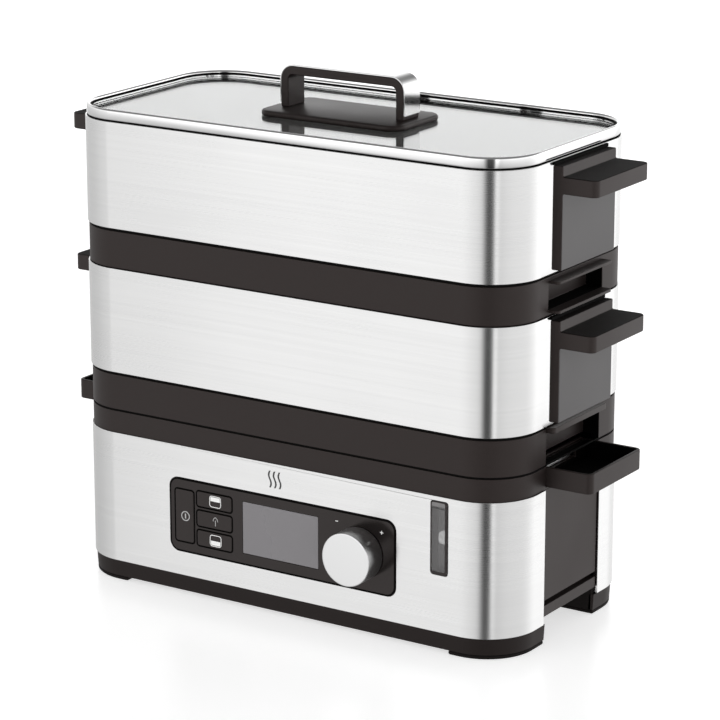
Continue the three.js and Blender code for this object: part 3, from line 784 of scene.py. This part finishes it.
def makeShells():
    panelLow, panelHigh = boxOf("control_panel")
    gaugeLow, gaugeHigh = boxOf("gauge_window")
    grow = baseForm["gapRound"]

    def panelHole(bm):
        return loopOf(bm, panelLow.x - grow, panelHigh.x + grow, panelLow.z - grow, panelHigh.z + grow,
                      panelForm["corner"] + grow, 0, segments=10)

    def gaugeHole(bm):
        return loopOf(bm, gaugeLow.x - grow, gaugeHigh.x + grow, gaugeLow.z - grow, gaugeHigh.z + grow, 1.9, 0,
                      segments=5)

    def glandHole(bm):  # drawn mirrored, because the rear sheet is turned round
        before = set(bm.edges)
        bmesh.ops.create_circle(bm, cap_ends=False, segments=32, radius=panelForm["glandRadius"],
                                matrix=Matrix.Translation((-panelForm["glandX"], panelForm["glandZ"], 0)))
        return [e for e in bm.edges if e not in before]

    for name, sy, holes in (("Front", -1, (panelHole, gaugeHole)), ("Rear", 1, (glandHole,))):
        bm = bmesh.new()
        shellSheet(bm, sy, holes)
        finishPiece(f"base{name}Shell", bm, "base", "steel", [f"base_{name.lower()}_shell"],
                    bevel=0.25, bevelSegments=2, wall=baseForm["sheet"])


def makeHousing():
    low, high = boxOf("base_housing")
    steelTop = boxOf("base_front_shell")[1].z
    bm = bmesh.new()
    rings = [
        planRing(1.3, low.z), planRing(1.3, steelTop), planRing(0.8, steelTop), planRing(0.8, high.z),
        planRing(3.0, high.z), planRing(3.0, 97), planRing(13, 97), planRing(13, steelTop),
        planRing(5.8, steelTop), planRing(5.8, low.z),
    ]
    ringStack(bm, rings, segments=24)
    piece = finishPiece("baseHousing", bm, "base", "plastic", ["base_housing"], bevel=0.4)
    cutters = []
    for side in (-1, 1):
        cutters.append(endBlock(side, 146.7, 170, 32.6, 0, steelTop))
        cutters.append(endBlock(side, 138.9, 170, 30.3, 93.2, 130))
    mid = plan["midY"]
    for x0, x1, z0, z1 in ((-75, 75, 30.5, 69.5), (102.4, 110.2, 48, 87.8)):
        cutters.append(blockCutter(x0, x1, mid - 85, mid - 55, z0, z1))
    cutters.append(blockCutter(-107.4, -92.6, mid + 55, mid + 85, 36.6, 51.4))
    cutAway(piece, cutters)
    for name, side in (("left", -1), ("right", 1)):
        node = f"base_end_panel_{name}"
        low, high = boxOf(node)
        bm = bmesh.new()
        prism(bm, low.x, high.x, low.y, high.y, 0, low.z, high.z)
        finishPiece(f"baseEndPanel{name.title()}", bm, "base", "plastic", [node], bevel=0.5)


panForm = {"skirtInset": 0.8, "skirtFoot": 2.5, "skirtTop": 12.2, "taper": 0.6, "legInX": 111.5, "legInY": 28.5}


def makePan():
    form, mid = panForm, plan["midY"]
    bm = bmesh.new()
    i = form["skirtInset"]
    rings = [
        planRing(i + form["taper"], form["skirtFoot"]), planRing(i, form["skirtTop"]),
        planRing(1.4, form["skirtTop"]), planRing(1.4, 19.0), planRing(3.8, 19.0),
        planRing(3.8, form["skirtTop"]), planRing(i + form["taper"] + 3, form["skirtFoot"]),
    ]
    ringStack(bm, rings, segments=24)
    skirt = finishPiece("baseSkirt", bm, "base", "skirt", ["base_pan"], bevel=0.5)
    cutAway(skirt, [endBlock(side, 120, 170, form["legInY"], 0, 30) for side in (-1, 1)]
            + [endBlock(side, 146.5, 170, 32.6, form["skirtTop"], 30) for side in (-1, 1)])
    bm = bmesh.new()
    prism(bm, *planRing(2.4, 0)[:5], 16.5, 19.0, 12)
    floor = finishPiece("basePanFloor", bm, "base", "plastic", [], bevel=0.4)
    cutAway(floor, [endBlock(side, 146.5, 170, 40, 10, 30) for side in (-1, 1)])
    bm = bmesh.new()
    for side in (-1, 1):
        x0, x1 = endRange(side, 144, 149)
        prism(bm, x0, x1, mid - 30.3, mid + 30.3, 0, 16.5, 23.0)
    finishPiece("basePanStrips", bm, "base", "plastic", [], bevel=0.3)
    for name, sx, sy in (("FrontLeft", -1, -1), ("FrontRight", 1, -1), ("RearLeft", -1, 1), ("RearRight", 1, 1)):
        makeLeg(name, sx, sy)


def makeLeg(name, sx, sy):
    # a solid corner block behind the skirt, and the pad under it
    form, mid = panForm, plan["midY"]
    node = "foot_" + ("front" if sy < 0 else "rear") + ("_left" if sx < 0 else "_right")
    high = boxOf(node)[1]
    for title, inset, z0, z1, nodes in (("cornerLeg", 2.4, form["skirtFoot"] - 0.3, 16.4, []),
                                        ("footPad", 1.4, 0.0, high.z + 0.3, [node])):
        bm = bmesh.new()
        prism(bm, *planRing(inset, 0)[:5], z0, z1, 16)
        # painted shade: the legs and pads under the base take a darker matt black than the other plastics
        piece = finishPiece(title + name, bm, "base", "handleTop", nodes,
                            bevel=0.4 if title == "cornerLeg" else 1.1, bevelSegments=3)
        zones = [
            blockCutter(-200, sx * form["legInX"], mid - 200, mid + 200, -5, 40) if sx > 0
            else blockCutter(sx * form["legInX"], 200, mid - 200, mid + 200, -5, 40),
            blockCutter(-200, 200, mid - 200, mid + sy * form["legInY"], -5, 40) if sy > 0
            else blockCutter(-200, 200, mid + sy * form["legInY"], mid + 200, -5, 40),
        ]
        cutAway(piece, zones)


inletForm = {"wall": 2.0, "floor": 2.0, "corner": 4.0, "slotHalfY": 18.0, "slotFoot": 3.9, "slotTop": 8.0}


def makeInlets():
    for name, sign in (("left", -1), ("right", 1)):
        node = f"water_inlet_{name}"
        low, high = boxOf(node)
        wall = inletForm["wall"]
        rounded = (1, 2) if sign > 0 else (0, 3)
        bm = bmesh.new()
        outer = outline(bm, low.x, high.x, low.y, high.y, inletForm["corner"], low.z, 10, rounded)
        extruded(bm, [outer], (0, 0, high.z - low.z))
        bmesh.ops.recalc_face_normals(bm, faces=list(bm.faces))
        top = [f for f in bm.faces if f.normal.z > 0.9]
        bmesh.ops.inset_region(bm, faces=top, thickness=wall, use_even_offset=True)
        top = max((f for f in bm.faces if f.normal.z > 0.9), key=lambda f: f.calc_area())
        sunk = bmesh.ops.extrude_face_region(bm, geom=[top])
        bmesh.ops.delete(bm, geom=[top], context="FACES_ONLY")
        bmesh.ops.translate(bm, verts=[g for g in sunk["geom"] if isinstance(g, bmesh.types.BMVert)],
                            vec=(0, 0, -(high.z - low.z - inletForm["floor"])))
        for face in bm.faces:  # painted shade: the cup's inside takes the near-black shadow finish
            centre = face.calc_center_median()
            inside = (low.x + wall - 0.1 < centre.x < high.x - wall + 0.1 and centre.z < high.z - 0.3
                      and abs(centre.y - plan["midY"]) < (high.y - low.y) / 2 - wall + 0.1 and centre.z > low.z + 0.5)
            face.material_index = 1 if inside else 0
        piece = finishPiece(f"waterInlet{name.title()}", bm, "base", ("plastic", "shadow"), [node],
                            bevel=0.5, bevelSegments=3)
        cutAway(piece, [endBlock(sign, 130, 142, inletForm["slotHalfY"], low.z + inletForm["slotFoot"],
                                 low.z + inletForm["slotTop"])])


keyForm = {"corner": 1.5, "holeCorner": 1.9, "edge": 0.45}
markForm = {"raise": 0.07, "line": 0.55, "nudge": 0.85, "powerNudge": 0.7, "border": 0.8, "groove": 0.45}
steamWings = [(1.3, 52, 0.0, 2.5), (1.1, 28, 1.0, 1.75), (0.9, 8, 1.5, 0.8)]  # length, lean, reach and rise


def makeControlPanel():
    low, high = boxOf("control_panel")
    bm = bmesh.new()
    edges = loopOf(bm, low.x, high.x, low.z, high.z, panelForm["corner"], 0, segments=12)
    for node in ("power_button", "upper_tier_button", "steam_button", "lower_tier_button"):
        keyLow, keyHigh = boxOf(node)
        inset = keyFlange - keyGap
        edges += loopOf(bm, keyLow.x + inset, keyHigh.x - inset, keyLow.z + inset, keyHigh.z - inset,
                        keyForm["holeCorner"], 0, segments=6)
    screenLow, screenHigh = boxOf("display_window")
    edges += loopOf(bm, screenLow.x - 0.3, screenHigh.x + 0.3, screenLow.z - 0.3, screenHigh.z + 0.3, 0.6, 0,
                    segments=3)
    knobLow, knobHigh = boxOf("knob")
    before = set(bm.edges)
    middle = (knobLow + knobHigh) / 2
    bmesh.ops.create_circle(bm, cap_ends=False, segments=32, radius=5.2,
                            matrix=Matrix.Translation((middle.x, middle.z, 0)))
    edges += [e for e in bm.edges if e not in before]
    bmesh.ops.triangle_fill(bm, edges=edges, use_beauty=True)
    extruded(bm, list(bm.faces), (0, 0, high.y - low.y))
    turnToFront(bm, list(bm.verts), high.y)
    finishPiece("controlPanel", bm, "base", "gloss", ["control_panel"], bevel=0.25)
    bm = bmesh.new()
    frontPrism(bm, screenLow.x, screenHigh.x, screenLow.z, screenHigh.z, 0.4, screenLow.y + 0.05, screenHigh.y, 3)
    finishPiece("displayWindow", bm, "base", "screen", ["display_window"], bevel=0.15)
    makeKnob(knobLow, knobHigh, middle)
    makeKeys()
    makePanelSigns(low.y, middle)


knobForm = {"edge": 0.45, "bore": 3.3, "boreDepth": 4.0, "groove": 0.25}


def makeKnob(low, high, middle):
    radius, deep, edge = (high.x - low.x) / 2, high.y - low.y, knobForm["edge"]
    points = [(0, deep), (radius - edge - 0.4, deep)]
    for step in range(1, 9):  # quarter round from the face to the side
        angle = math.radians(step * 90 / 8)
        points.append((radius - edge + edge * math.sin(angle), deep - edge + edge * math.cos(angle)))
    points += [(radius, 1.2), (radius - 0.4, 0.6), (radius - 0.4, 0), (knobForm["bore"], 0),
               (knobForm["bore"], deep - knobForm["boreDepth"]), (0, deep - knobForm["boreDepth"])]
    bm = bmesh.new()
    lathe(bm, points, (middle.x, high.y, middle.z), axis="Y", steps=96)
    bmesh.ops.recalc_face_normals(bm, faces=list(bm.faces))
    for face in bm.faces:
        centre = face.calc_center_median()
        face.material_index = 1 if face.normal.y < -0.98 and centre.y < low.y + 0.2 else 0
    finishPiece("selectorKnob", bm, "selector_knob", ("knobSide", "knobFace"), ["knob"], bevel=0, sharp=40)


def makeKeys():
    for node, body in (("power_button", "power_key"), ("upper_tier_button", "upper_tier_key"),
                       ("steam_button", "steam_key"), ("lower_tier_button", "lower_tier_key")):
        low, high = boxOf(node)
        x0, x1, z0, z1 = low.x + keyFlange, high.x - keyFlange, low.z + keyFlange, high.z - keyFlange
        bm = bmesh.new()
        frontPrism(bm, x0, x1, z0, z1, keyForm["corner"], low.y, high.y, 6)
        frontPrism(bm, low.x, high.x, low.z, high.z, keyForm["corner"], low.y + 2.2, low.y + 3.2, 4)
        name = camelName(node)
        finishPiece(name, bm, body, "key", [node], bevel=keyForm["edge"], bevelSegments=3)
        bm = bmesh.new()
        signs = {"power_button": powerSign, "upper_tier_button": upperSign, "steam_button": steamSign,
                 "lower_tier_button": lowerSign}
        nudge = markForm["powerNudge"] if node == "power_button" else markForm["nudge"]
        signs[node](bm, (x0 + x1) / 2 + nudge, (z0 + z1) / 2)
        turnToFront(bm, list(bm.verts), low.y + 0.01)
        paint = "greyPaint" if node in ("power_button", "steam_button") else "whitePaint"
        finishPiece(name + "Sign", bm, body, paint, [], bevel=0)


def flatRing(bm, x, z, outerX, outerZ, corner, line):
    # a closed line of even width, drawn in X and Z before it is turned to the front
    before = set(bm.faces)
    middle = outline(bm, x - outerX, x + outerX, z - outerZ, z + outerZ, corner, 0, 10)
    bmesh.ops.inset_region(bm, faces=[middle], thickness=line, use_even_offset=True, use_boundary=True)
    middle = max((f for f in bm.faces if f not in before), key=lambda f: f.calc_area())
    bmesh.ops.delete(bm, geom=[middle], context="FACES_ONLY")
    ring = [f for f in bm.faces if f not in before]
    extruded(bm, ring, (0, 0, markForm["raise"]))


def powerSign(bm, x, z):
    flatRing(bm, x, z, 3.0, 3.0, 2.99, markForm["line"])
    prism(bm, x - 0.4, x + 0.4, z - 1.5, z + 1.5, 0.25, 0, markForm["raise"], 4)


def tierSign(bm, x, z, filled):
    flatRing(bm, x, z, 4.1, 3.5, 1.8, 0.42)
    z0, z1 = (z + 0.15, z + 2.75) if filled > 0 else (z - 2.75, z - 0.15)
    prism(bm, x - 3.35, x + 3.35, z0, z1, 0.9, 0, markForm["raise"], 5, (2, 3) if filled > 0 else (0, 1))


def upperSign(bm, x, z):
    tierSign(bm, x, z, 1)


def lowerSign(bm, x, z):
    tierSign(bm, x, z, -1)


def steamSign(bm, x, z):
    # a short upright stem under a wide round-shouldered arrow head
    prism(bm, x - 0.2, x + 0.2, z - 2.9, z + 0.6, 0.15, 0, markForm["raise"], 3)
    for side in (-1, 1):
        for number, (length, lean, reach, rise) in enumerate(steamWings):
            wing = prism(bm, x - 0.17, x + 0.17, z + rise - length, z + rise, 0.12, 0, markForm["raise"], 3)
            bmesh.ops.rotate(bm, verts=wing, cent=(x, z + rise, 0),
                             matrix=Matrix.Rotation(side * math.radians(lean), 3, "Z"))
            bmesh.ops.translate(bm, verts=wing, vec=(side * reach, 0, 0.004 * number))


def makePanelSigns(panelFront, middle):
    bm = bmesh.new()
    minus, plus = (middle.x - 15.6, middle.z + 16.0), (middle.x + 14.4, middle.z + 14.6)
    prism(bm, minus[0] - 0.9, minus[0] + 0.9, minus[1] - 0.25, minus[1] + 0.25, 0.1, 0, markForm["raise"], 3)
    prism(bm, plus[0] - 1.1, plus[0] + 1.1, plus[1] - 0.25, plus[1] + 0.25, 0.1, 0, markForm["raise"], 3)
    prism(bm, plus[0] - 0.25, plus[0] + 0.25, plus[1] - 1.1, plus[1] + 1.1, 0.1, 0, markForm["raise"] + 0.01, 3)
    turnToFront(bm, list(bm.verts), panelFront + 0.01)
    makeGapShadeLines(panelFront)
    finishPiece("panelSigns", bm, "base", "whitePaint", [], bevel=0)
    bm = bmesh.new()
    for x in (-7.0, -3.7, -0.4):  # three rising wisps of steam
        wispLine(bm, x, 77.6, 87.6)
    turnToFront(bm, list(bm.verts), plan["midY"] - plan["halfY"] + 0.01)
    finishPiece("steamMark", bm, "base", "blackPaint", [], bevel=0)


def makeGapShadeLines(panelFront):
    # painted shade: a near-black border round the panel and a line round each key, for the shaded gaps round them
    low, high = boxOf("control_panel")
    middle, half = (low + high) / 2, (high - low) / 2
    bm = bmesh.new()
    flatRing(bm, middle.x, middle.z, half.x - 0.05, half.z - 0.05, panelForm["corner"], markForm["border"])
    for node in ("power_button", "upper_tier_button", "steam_button", "lower_tier_button"):
        low, high = boxOf(node)
        middle, half = (low + high) / 2, (high - low) / 2
        line = markForm["groove"]
        grow = line - (keyFlange - keyGap)
        flatRing(bm, middle.x, middle.z, half.x + grow, half.z + grow, keyForm["holeCorner"] + line, line)
    turnToFront(bm, list(bm.verts), panelFront + 0.02)
    finishPiece("panelGapShade", bm, "base", "shadow", [], bevel=0)


def wispLine(bm, x, z0, z1, width=1.1, sway=0.8, steps=16):
    # a flat wavy stroke: one edge carried up in small steps
    before = set(bm.verts)
    ends = [bm.verts.new((x - width / 2, z0, 0)), bm.verts.new((x + width / 2, z0, 0))]
    edge = [bm.edges.new(ends)]
    for step in range(1, steps + 1):
        grown = bmesh.ops.extrude_edge_only(bm, edges=edge)
        verts = [g for g in grown["geom"] if isinstance(g, bmesh.types.BMVert)]
        edge = [g for g in grown["geom"] if isinstance(g, bmesh.types.BMEdge)]
        swing = sway * (math.sin(step / steps * math.tau) - math.sin((step - 1) / steps * math.tau))
        bmesh.ops.translate(bm, verts=verts, vec=(swing, (z1 - z0) / steps, 0))
    faces = [f for f in bm.faces if all(v not in before for v in f.verts)]
    extruded(bm, faces, (0, 0, markForm["raise"]))


gaugeForm = {
    "left": 0.5, "right": 1.5, "foot": 1.7, "top": 0.6,  # widths of the black frame's sides
    "band": 2.3,  # the pale band under the frame's top
    "raise": 0.12, "backingY": -53.0,
}


def makeGauge():
    low, high = boxOf("gauge_window")
    bm = bmesh.new()
    frontPrism(bm, low.x, high.x, low.z, high.z, 1.5, low.y, high.y, 6)
    finishPiece("gaugeWindow", bm, "base", "smoked", ["gauge_window"], bevel=0.2)
    form, mid = gaugeForm, plan["midY"]
    bm = bmesh.new()
    outer = (low.x, high.x, low.z, high.z, 1.5)
    inner = (low.x + form["left"], high.x - form["right"], low.z + form["foot"], high.z - form["top"], 0.9)
    ringStack(bm, [(*outer, 0), (*outer, form["raise"]), (*inner, form["raise"]), (*inner, 0)], segments=8)
    turnToFront(bm, list(bm.verts), low.y + 0.02)
    finishPiece("gaugeFrame", bm, "base", "gloss", [], bevel=0)
    bm = bmesh.new()
    prism(bm, inner[0], inner[1], inner[3] - form["band"], inner[3], 0.2, 0, markForm["raise"], 3)
    turnToFront(bm, list(bm.verts), low.y + 0.02)
    finishPiece("gaugeBand", bm, "base", "bandPaint", [], bevel=0)
    bm = bmesh.new()
    prism(bm, inner[0] + 0.2, inner[1] - 0.2, inner[3] - form["band"] - 1.3, inner[3] - form["band"] - 0.8, 0.1, 0,
          markForm["raise"], 3)
    turnToFront(bm, list(bm.verts), low.y + 0.02)
    finishPiece("gaugeFullLine", bm, "base", "blackPaint", [], bevel=0)
    tubeLow, tubeHigh = boxOf("gauge_tube")
    bm = bmesh.new()
    back = mid + form["backingY"]
    prism(bm, tubeLow.x - 3, tubeHigh.x + 3, back, back + 0.8, 0, tubeLow.z, tubeHigh.z - 1)
    finishPiece("gaugeBacking", bm, "base", "backing", [], bevel=0.1)
    floatLow, floatHigh = boxOf("gauge_float")
    radius = (floatHigh.z - floatLow.z) / 2
    middle = (floatLow + floatHigh) / 2
    bm = bmesh.new()
    points = [(0, -radius)]
    for step in range(1, 16):
        angle = math.radians(-90 + step * 180 / 16)
        points.append((radius * math.cos(angle), radius * math.sin(angle)))
    points.append((0, radius))
    lathe(bm, points, middle, steps=32)
    finishPiece("gaugeFloat", bm, "level_float", "float", ["gauge_float"], bevel=0)


def makeGland():
    low, high = boxOf("cord_gland")
    middle = (low + high) / 2
    wallY = plan["midY"] + plan["halfY"]
    out = high.y - wallY
    points = [(3.6, -out), (8.2, -out), (9.4, -out + 0.9), (10.0, -0.3), (7.0, -0.3), (7.0, 6.8), (3.6, 6.8)]
    bm = bmesh.new()
    lathe(bm, points, (middle.x, wallY, middle.z), axis="Y", steps=48)
    finishPiece("cordGland", bm, "base", "plastic", ["cord_gland"], bevel=0.3)


tankForm = {
    "x": 118.0, "yFront": -44.0, "yRear": 58.0, "corner": 20.0, "bottom": 38.0, "wall": 1.5,
    "flangeInset": 3.4, "floorInset": 10, "bend": 2.5,  # bend is the radius at the tank's foot
}


def makeTank():
    high = boxOf("water_tank")[1]
    form, mid = tankForm, plan["midY"]
    w = form["wall"]
    flangeFoot = high.z - 1.5

    def basin(inset, z):
        return (-form["x"] + inset, form["x"] - inset, mid + form["yFront"] + inset, mid + form["yRear"] - inset,
                form["corner"] - inset, z)

    bm = bmesh.new()
    foot, inset, bend = form["bottom"], form["floorInset"], form["bend"]
    cappedStack(bm, [
        basin(inset, foot + w), basin(w + bend, foot + w), basin(w, foot + w + bend), basin(w, high.z),
        planRing(form["flangeInset"], high.z), planRing(form["flangeInset"], flangeFoot), basin(0, flangeFoot),
        basin(0, foot + bend), basin(bend, foot), basin(inset, foot),
    ], 16)
    piece = finishPiece("waterTank", bm, "base", "steelFlat", ["water_tank"], bevel=0.4)
    cutAway(piece, [endBlock(side, 138.6, 170, 30.6, 80, 120) for side in (-1, 1)])

    plateLow, plateHigh = boxOf("heating_plate")
    z0, z1, r = plateLow.z, plateHigh.z, (plateHigh.x - plateLow.x) / 2
    bm = bmesh.new()
    lathe(bm, [(0, z0), (r, z0), (r, z1 - 1), (r - 3, z1), (r - 12, z1), (r - 13, z1 - 0.5), (r - 14, z1), (0, z1)],
          (0, plan["steamY"], 0), steps=64)
    finishPiece("heatingPlate", bm, "base", "steelFlat", ["heating_plate"], bevel=0.3)

    bm = bmesh.new()
    lathe(bm, [(33, 44.2), (36, 44.2), (36, 60), (35.2, 64), (29.6, 92), (29, 96), (29, 103.6), (26.5, 103.6),
               (26.5, 95.6), (33, 59.6)], (0, plan["steamY"], 0), steps=64)
    guide = finishPiece("steamGuide", bm, "base", "plasticSmooth", ["steam_guide"], bevel=0.4)
    y = plan["steamY"]
    cutAway(guide, [blockCutter(-60, 60, y - 5, y + 5, 30, 50), blockCutter(-5, 5, y - 60, y + 60, 30, 50)])


lidForm = {"rimInset": 0.8, "rimWall": 2.6, "rimRound": 1.5, "glassInset": 3.8, "sealInset": 2.2,
           "beadIn": 3.42, "beadOut": 4.3, "beadFoot": 1.1, "beadTop": 2.6, "plateCorner": 9}
archForm = {"halfX": 41.4, "thick": 5.0, "outer": 8.0, "edge": 0.6, "trimGap": 0.05, "trim": 0.8, "trimLift": 2.2}


def makeLid():
    low, high = boxOf("lid_rim")
    i, w = lidForm["rimInset"], lidForm["rimWall"]
    bm = bmesh.new()
    middle, reach, drop = i + w / 2, w / 2, lidForm["rimRound"]
    profile = [(i + 0.35, low.z), (i, low.z + 0.8)]
    for step in range(0, 13):  # over the rounded top, from the outside to the inside
        angle = math.radians(step * 180 / 12)
        profile.append((middle - reach * math.cos(angle), high.z - drop + drop * math.sin(angle)))
    profile.append((i + w, low.z))
    ringStack(bm, [planRing(inset, z) for inset, z in profile], segments=40)
    finishPiece("lidRim", bm, "lid", "polished", ["lid_rim"], bevel=0, sharp=50)
    low, high = boxOf("lid_glass")
    bm = bmesh.new()
    prism(bm, *planRing(lidForm["glassInset"], 0)[:5], low.z, high.z, 40)
    finishPiece("lidGlass", bm, "lid", "glass", ["lid_glass"], bevel=0.5, bevelSegments=3)
    makeSeal(low.z)
    bm = bmesh.new()
    a, b = lidForm["beadIn"], lidForm["beadOut"]
    foot, top = high.z + lidForm["beadFoot"], high.z + lidForm["beadTop"]
    ringStack(bm, [planRing(a, foot), planRing(a, top), planRing((a + b) / 2, top), planRing(b, (foot + top) / 2),
                   planRing((a + b) / 2, foot)], segments=32)
    finishPiece("lidBead", bm, "lid", "silicone", [], bevel=0.15)
    plateLow, plateHigh = boxOf("lid_handle_plate")
    bm = bmesh.new()
    steps = [(0.5, high.z + 0.02), (0.0, high.z + 0.9), (0.0, plateHigh.z - 1.2), (0.45, plateHigh.z - 0.35),
             (1.3, plateHigh.z)]  # how far in, and at what height
    corner = lidForm["plateCorner"]
    cappedStack(bm, [(plateLow.x + a, plateHigh.x - a, plateLow.y + a, plateHigh.y - a, corner - a, z)
                     for a, z in steps], 16)
    finishPiece("lidHandlePlate", bm, "lid", "plasticSmooth", ["lid_handle_plate"], bevel=0, sharp=60)
    makeArch(plateHigh.z)
    for number in (1, 2):
        screwLow, screwHigh = boxOf(f"lid_screw_{number}")
        bm = bmesh.new()
        head = low.z - 0.05
        lathe(bm, [(0, head - 1.6), (1.6, head - 1.6), (1.8, head - 2.4), (4, head - 2.4), (4.8, head - 1.4),
                   (5, head), (0, head)],
              ((screwLow.x + screwHigh.x) / 2, plan["midY"], 0), steps=32)
        finishPiece(f"lidScrew{number}", bm, "lid", "polished", [f"lid_screw_{number}"], bevel=0)


def makeSeal(glassFoot):
    low, high = boxOf("lid_seal")
    i = lidForm["sealInset"]
    bm = bmesh.new()
    profile = [(0, low.z + 1.0), (0.4, low.z + 2.0), (0, high.z), (1.2, high.z), (1.2, glassFoot - 0.1),
               (8, glassFoot - 0.1), (8, glassFoot - 1.6), (3, glassFoot - 1.8), (1.5, low.z)]
    ringStack(bm, [planRing(i + inset, z) for inset, z in profile], segments=24)
    finishPiece("lidSeal", bm, "lid", "silicone", ["lid_seal"], bevel=0.3)


def sweepArch(bm, halfX, thick, outer, depth, feetZ, topZ):
    # one block carried up, round, across, round and down
    mid = plan["midY"]
    verts = prism(bm, -halfX, -halfX + thick, mid - depth, mid + depth, 0, feetZ - 1, feetZ)
    cap = [f for f in bm.faces if all(v in verts and v.co.z > feetZ - 0.5 for v in f.verts)]
    floor = [f for f in bm.faces if all(v in verts and v.co.z < feetZ - 0.5 for v in f.verts)]
    sides = [f for f in bm.faces if f in {g for v in verts for g in v.link_faces} and f not in cap + floor]
    bmesh.ops.delete(bm, geom=floor + sides, context="FACES")

    def bend(faces, centreX):
        edges, corners = {e for f in faces for e in f.edges}, {v for f in faces for v in f.verts}
        turned = bmesh.ops.spin(bm, geom=faces + list(edges) + list(corners), cent=(centreX, 0, topZ - outer),
                                axis=(0, 1, 0), angle=math.pi / 2, steps=12)
        return [g for g in turned["geom_last"] if isinstance(g, bmesh.types.BMFace)]

    _, faces = extruded(bm, cap, (0, 0, topZ - outer - feetZ))
    faces = bend(faces, -halfX + outer)
    _, faces = extruded(bm, faces, (2 * (halfX - outer), 0, 0))
    faces = bend(faces, halfX - outer)
    extruded(bm, faces, (0, 0, -(topZ - outer - feetZ)))
    inner = [f for f in bm.faces if len(f.verts) == 4 and isHidden(f)]
    if inner:
        bmesh.ops.delete(bm, geom=inner, context="FACES")


def isHidden(face):
    # a face that both its sides' neighbours go on from is left over inside a swept bar
    return all(len(e.link_faces) > 2 for e in face.edges)


def makeArch(plateTop):
    low, high = boxOf("lid_handle_arch")
    depth = (high.y - low.y) / 2
    form = archForm
    bm = bmesh.new()
    sweepArch(bm, form["halfX"], form["thick"], form["outer"], depth, plateTop - 0.05, high.z)
    finishPiece("lidHandleArch", bm, "lid", "plasticSmooth", ["lid_handle_arch"], bevel=form["edge"],
                bevelSegments=3)
    bm = bmesh.new()
    grow = form["trimGap"] + form["trim"]
    sweepArch(bm, form["halfX"] + grow, form["trim"], form["outer"] + grow, depth - 0.3, low.z + form["trimLift"],
              high.z + grow)
    finishPiece("lidHandleTrim", bm, "lid", "trim", ["lid_handle_trim"], bevel=0.2)


# the inner CAD nodes that stay, each with its own finish
keptNodes = {
    "thermostat": "plastic", "display_module": "plastic", "heater_coil": "polished", "knob_shaft": "polished",
    "knob_encoder": "steelFlat", "power_board": "board", "control_board": "board", "gauge_tube": "clear",
    "base_screw_1": "polished", "base_screw_2": "polished", "base_screw_3": "polished", "base_screw_4": "polished",
}


def dressKeptNodes():
    for name, key in keptNodes.items():
        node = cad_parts[name]
        node.data.materials.clear()
        node.data.materials.append(materials[key])


makeMaterials()
makeCamera()
makeStudio()
print("stage: materials, camera and studio")
for prefix, grateBody in (("lower_tier", "lower_grate"), ("upper_tier", "upper_grate")):
    makeTier(prefix)
    makeTierHandles(prefix)
    makeEndShadeStrips(prefix)
    makeGrate(prefix, grateBody)
makeTray("lower_tray")
makeTray("upper_tray")
print("stage: tiers and trays")
makeShells()
makeHousing()
makePan()
makeInlets()
makeControlPanel()
makeGauge()
makeGland()
makeTank()
print("stage: base")
makeLid()
dressKeptNodes()
print("stage: lid and inner parts")
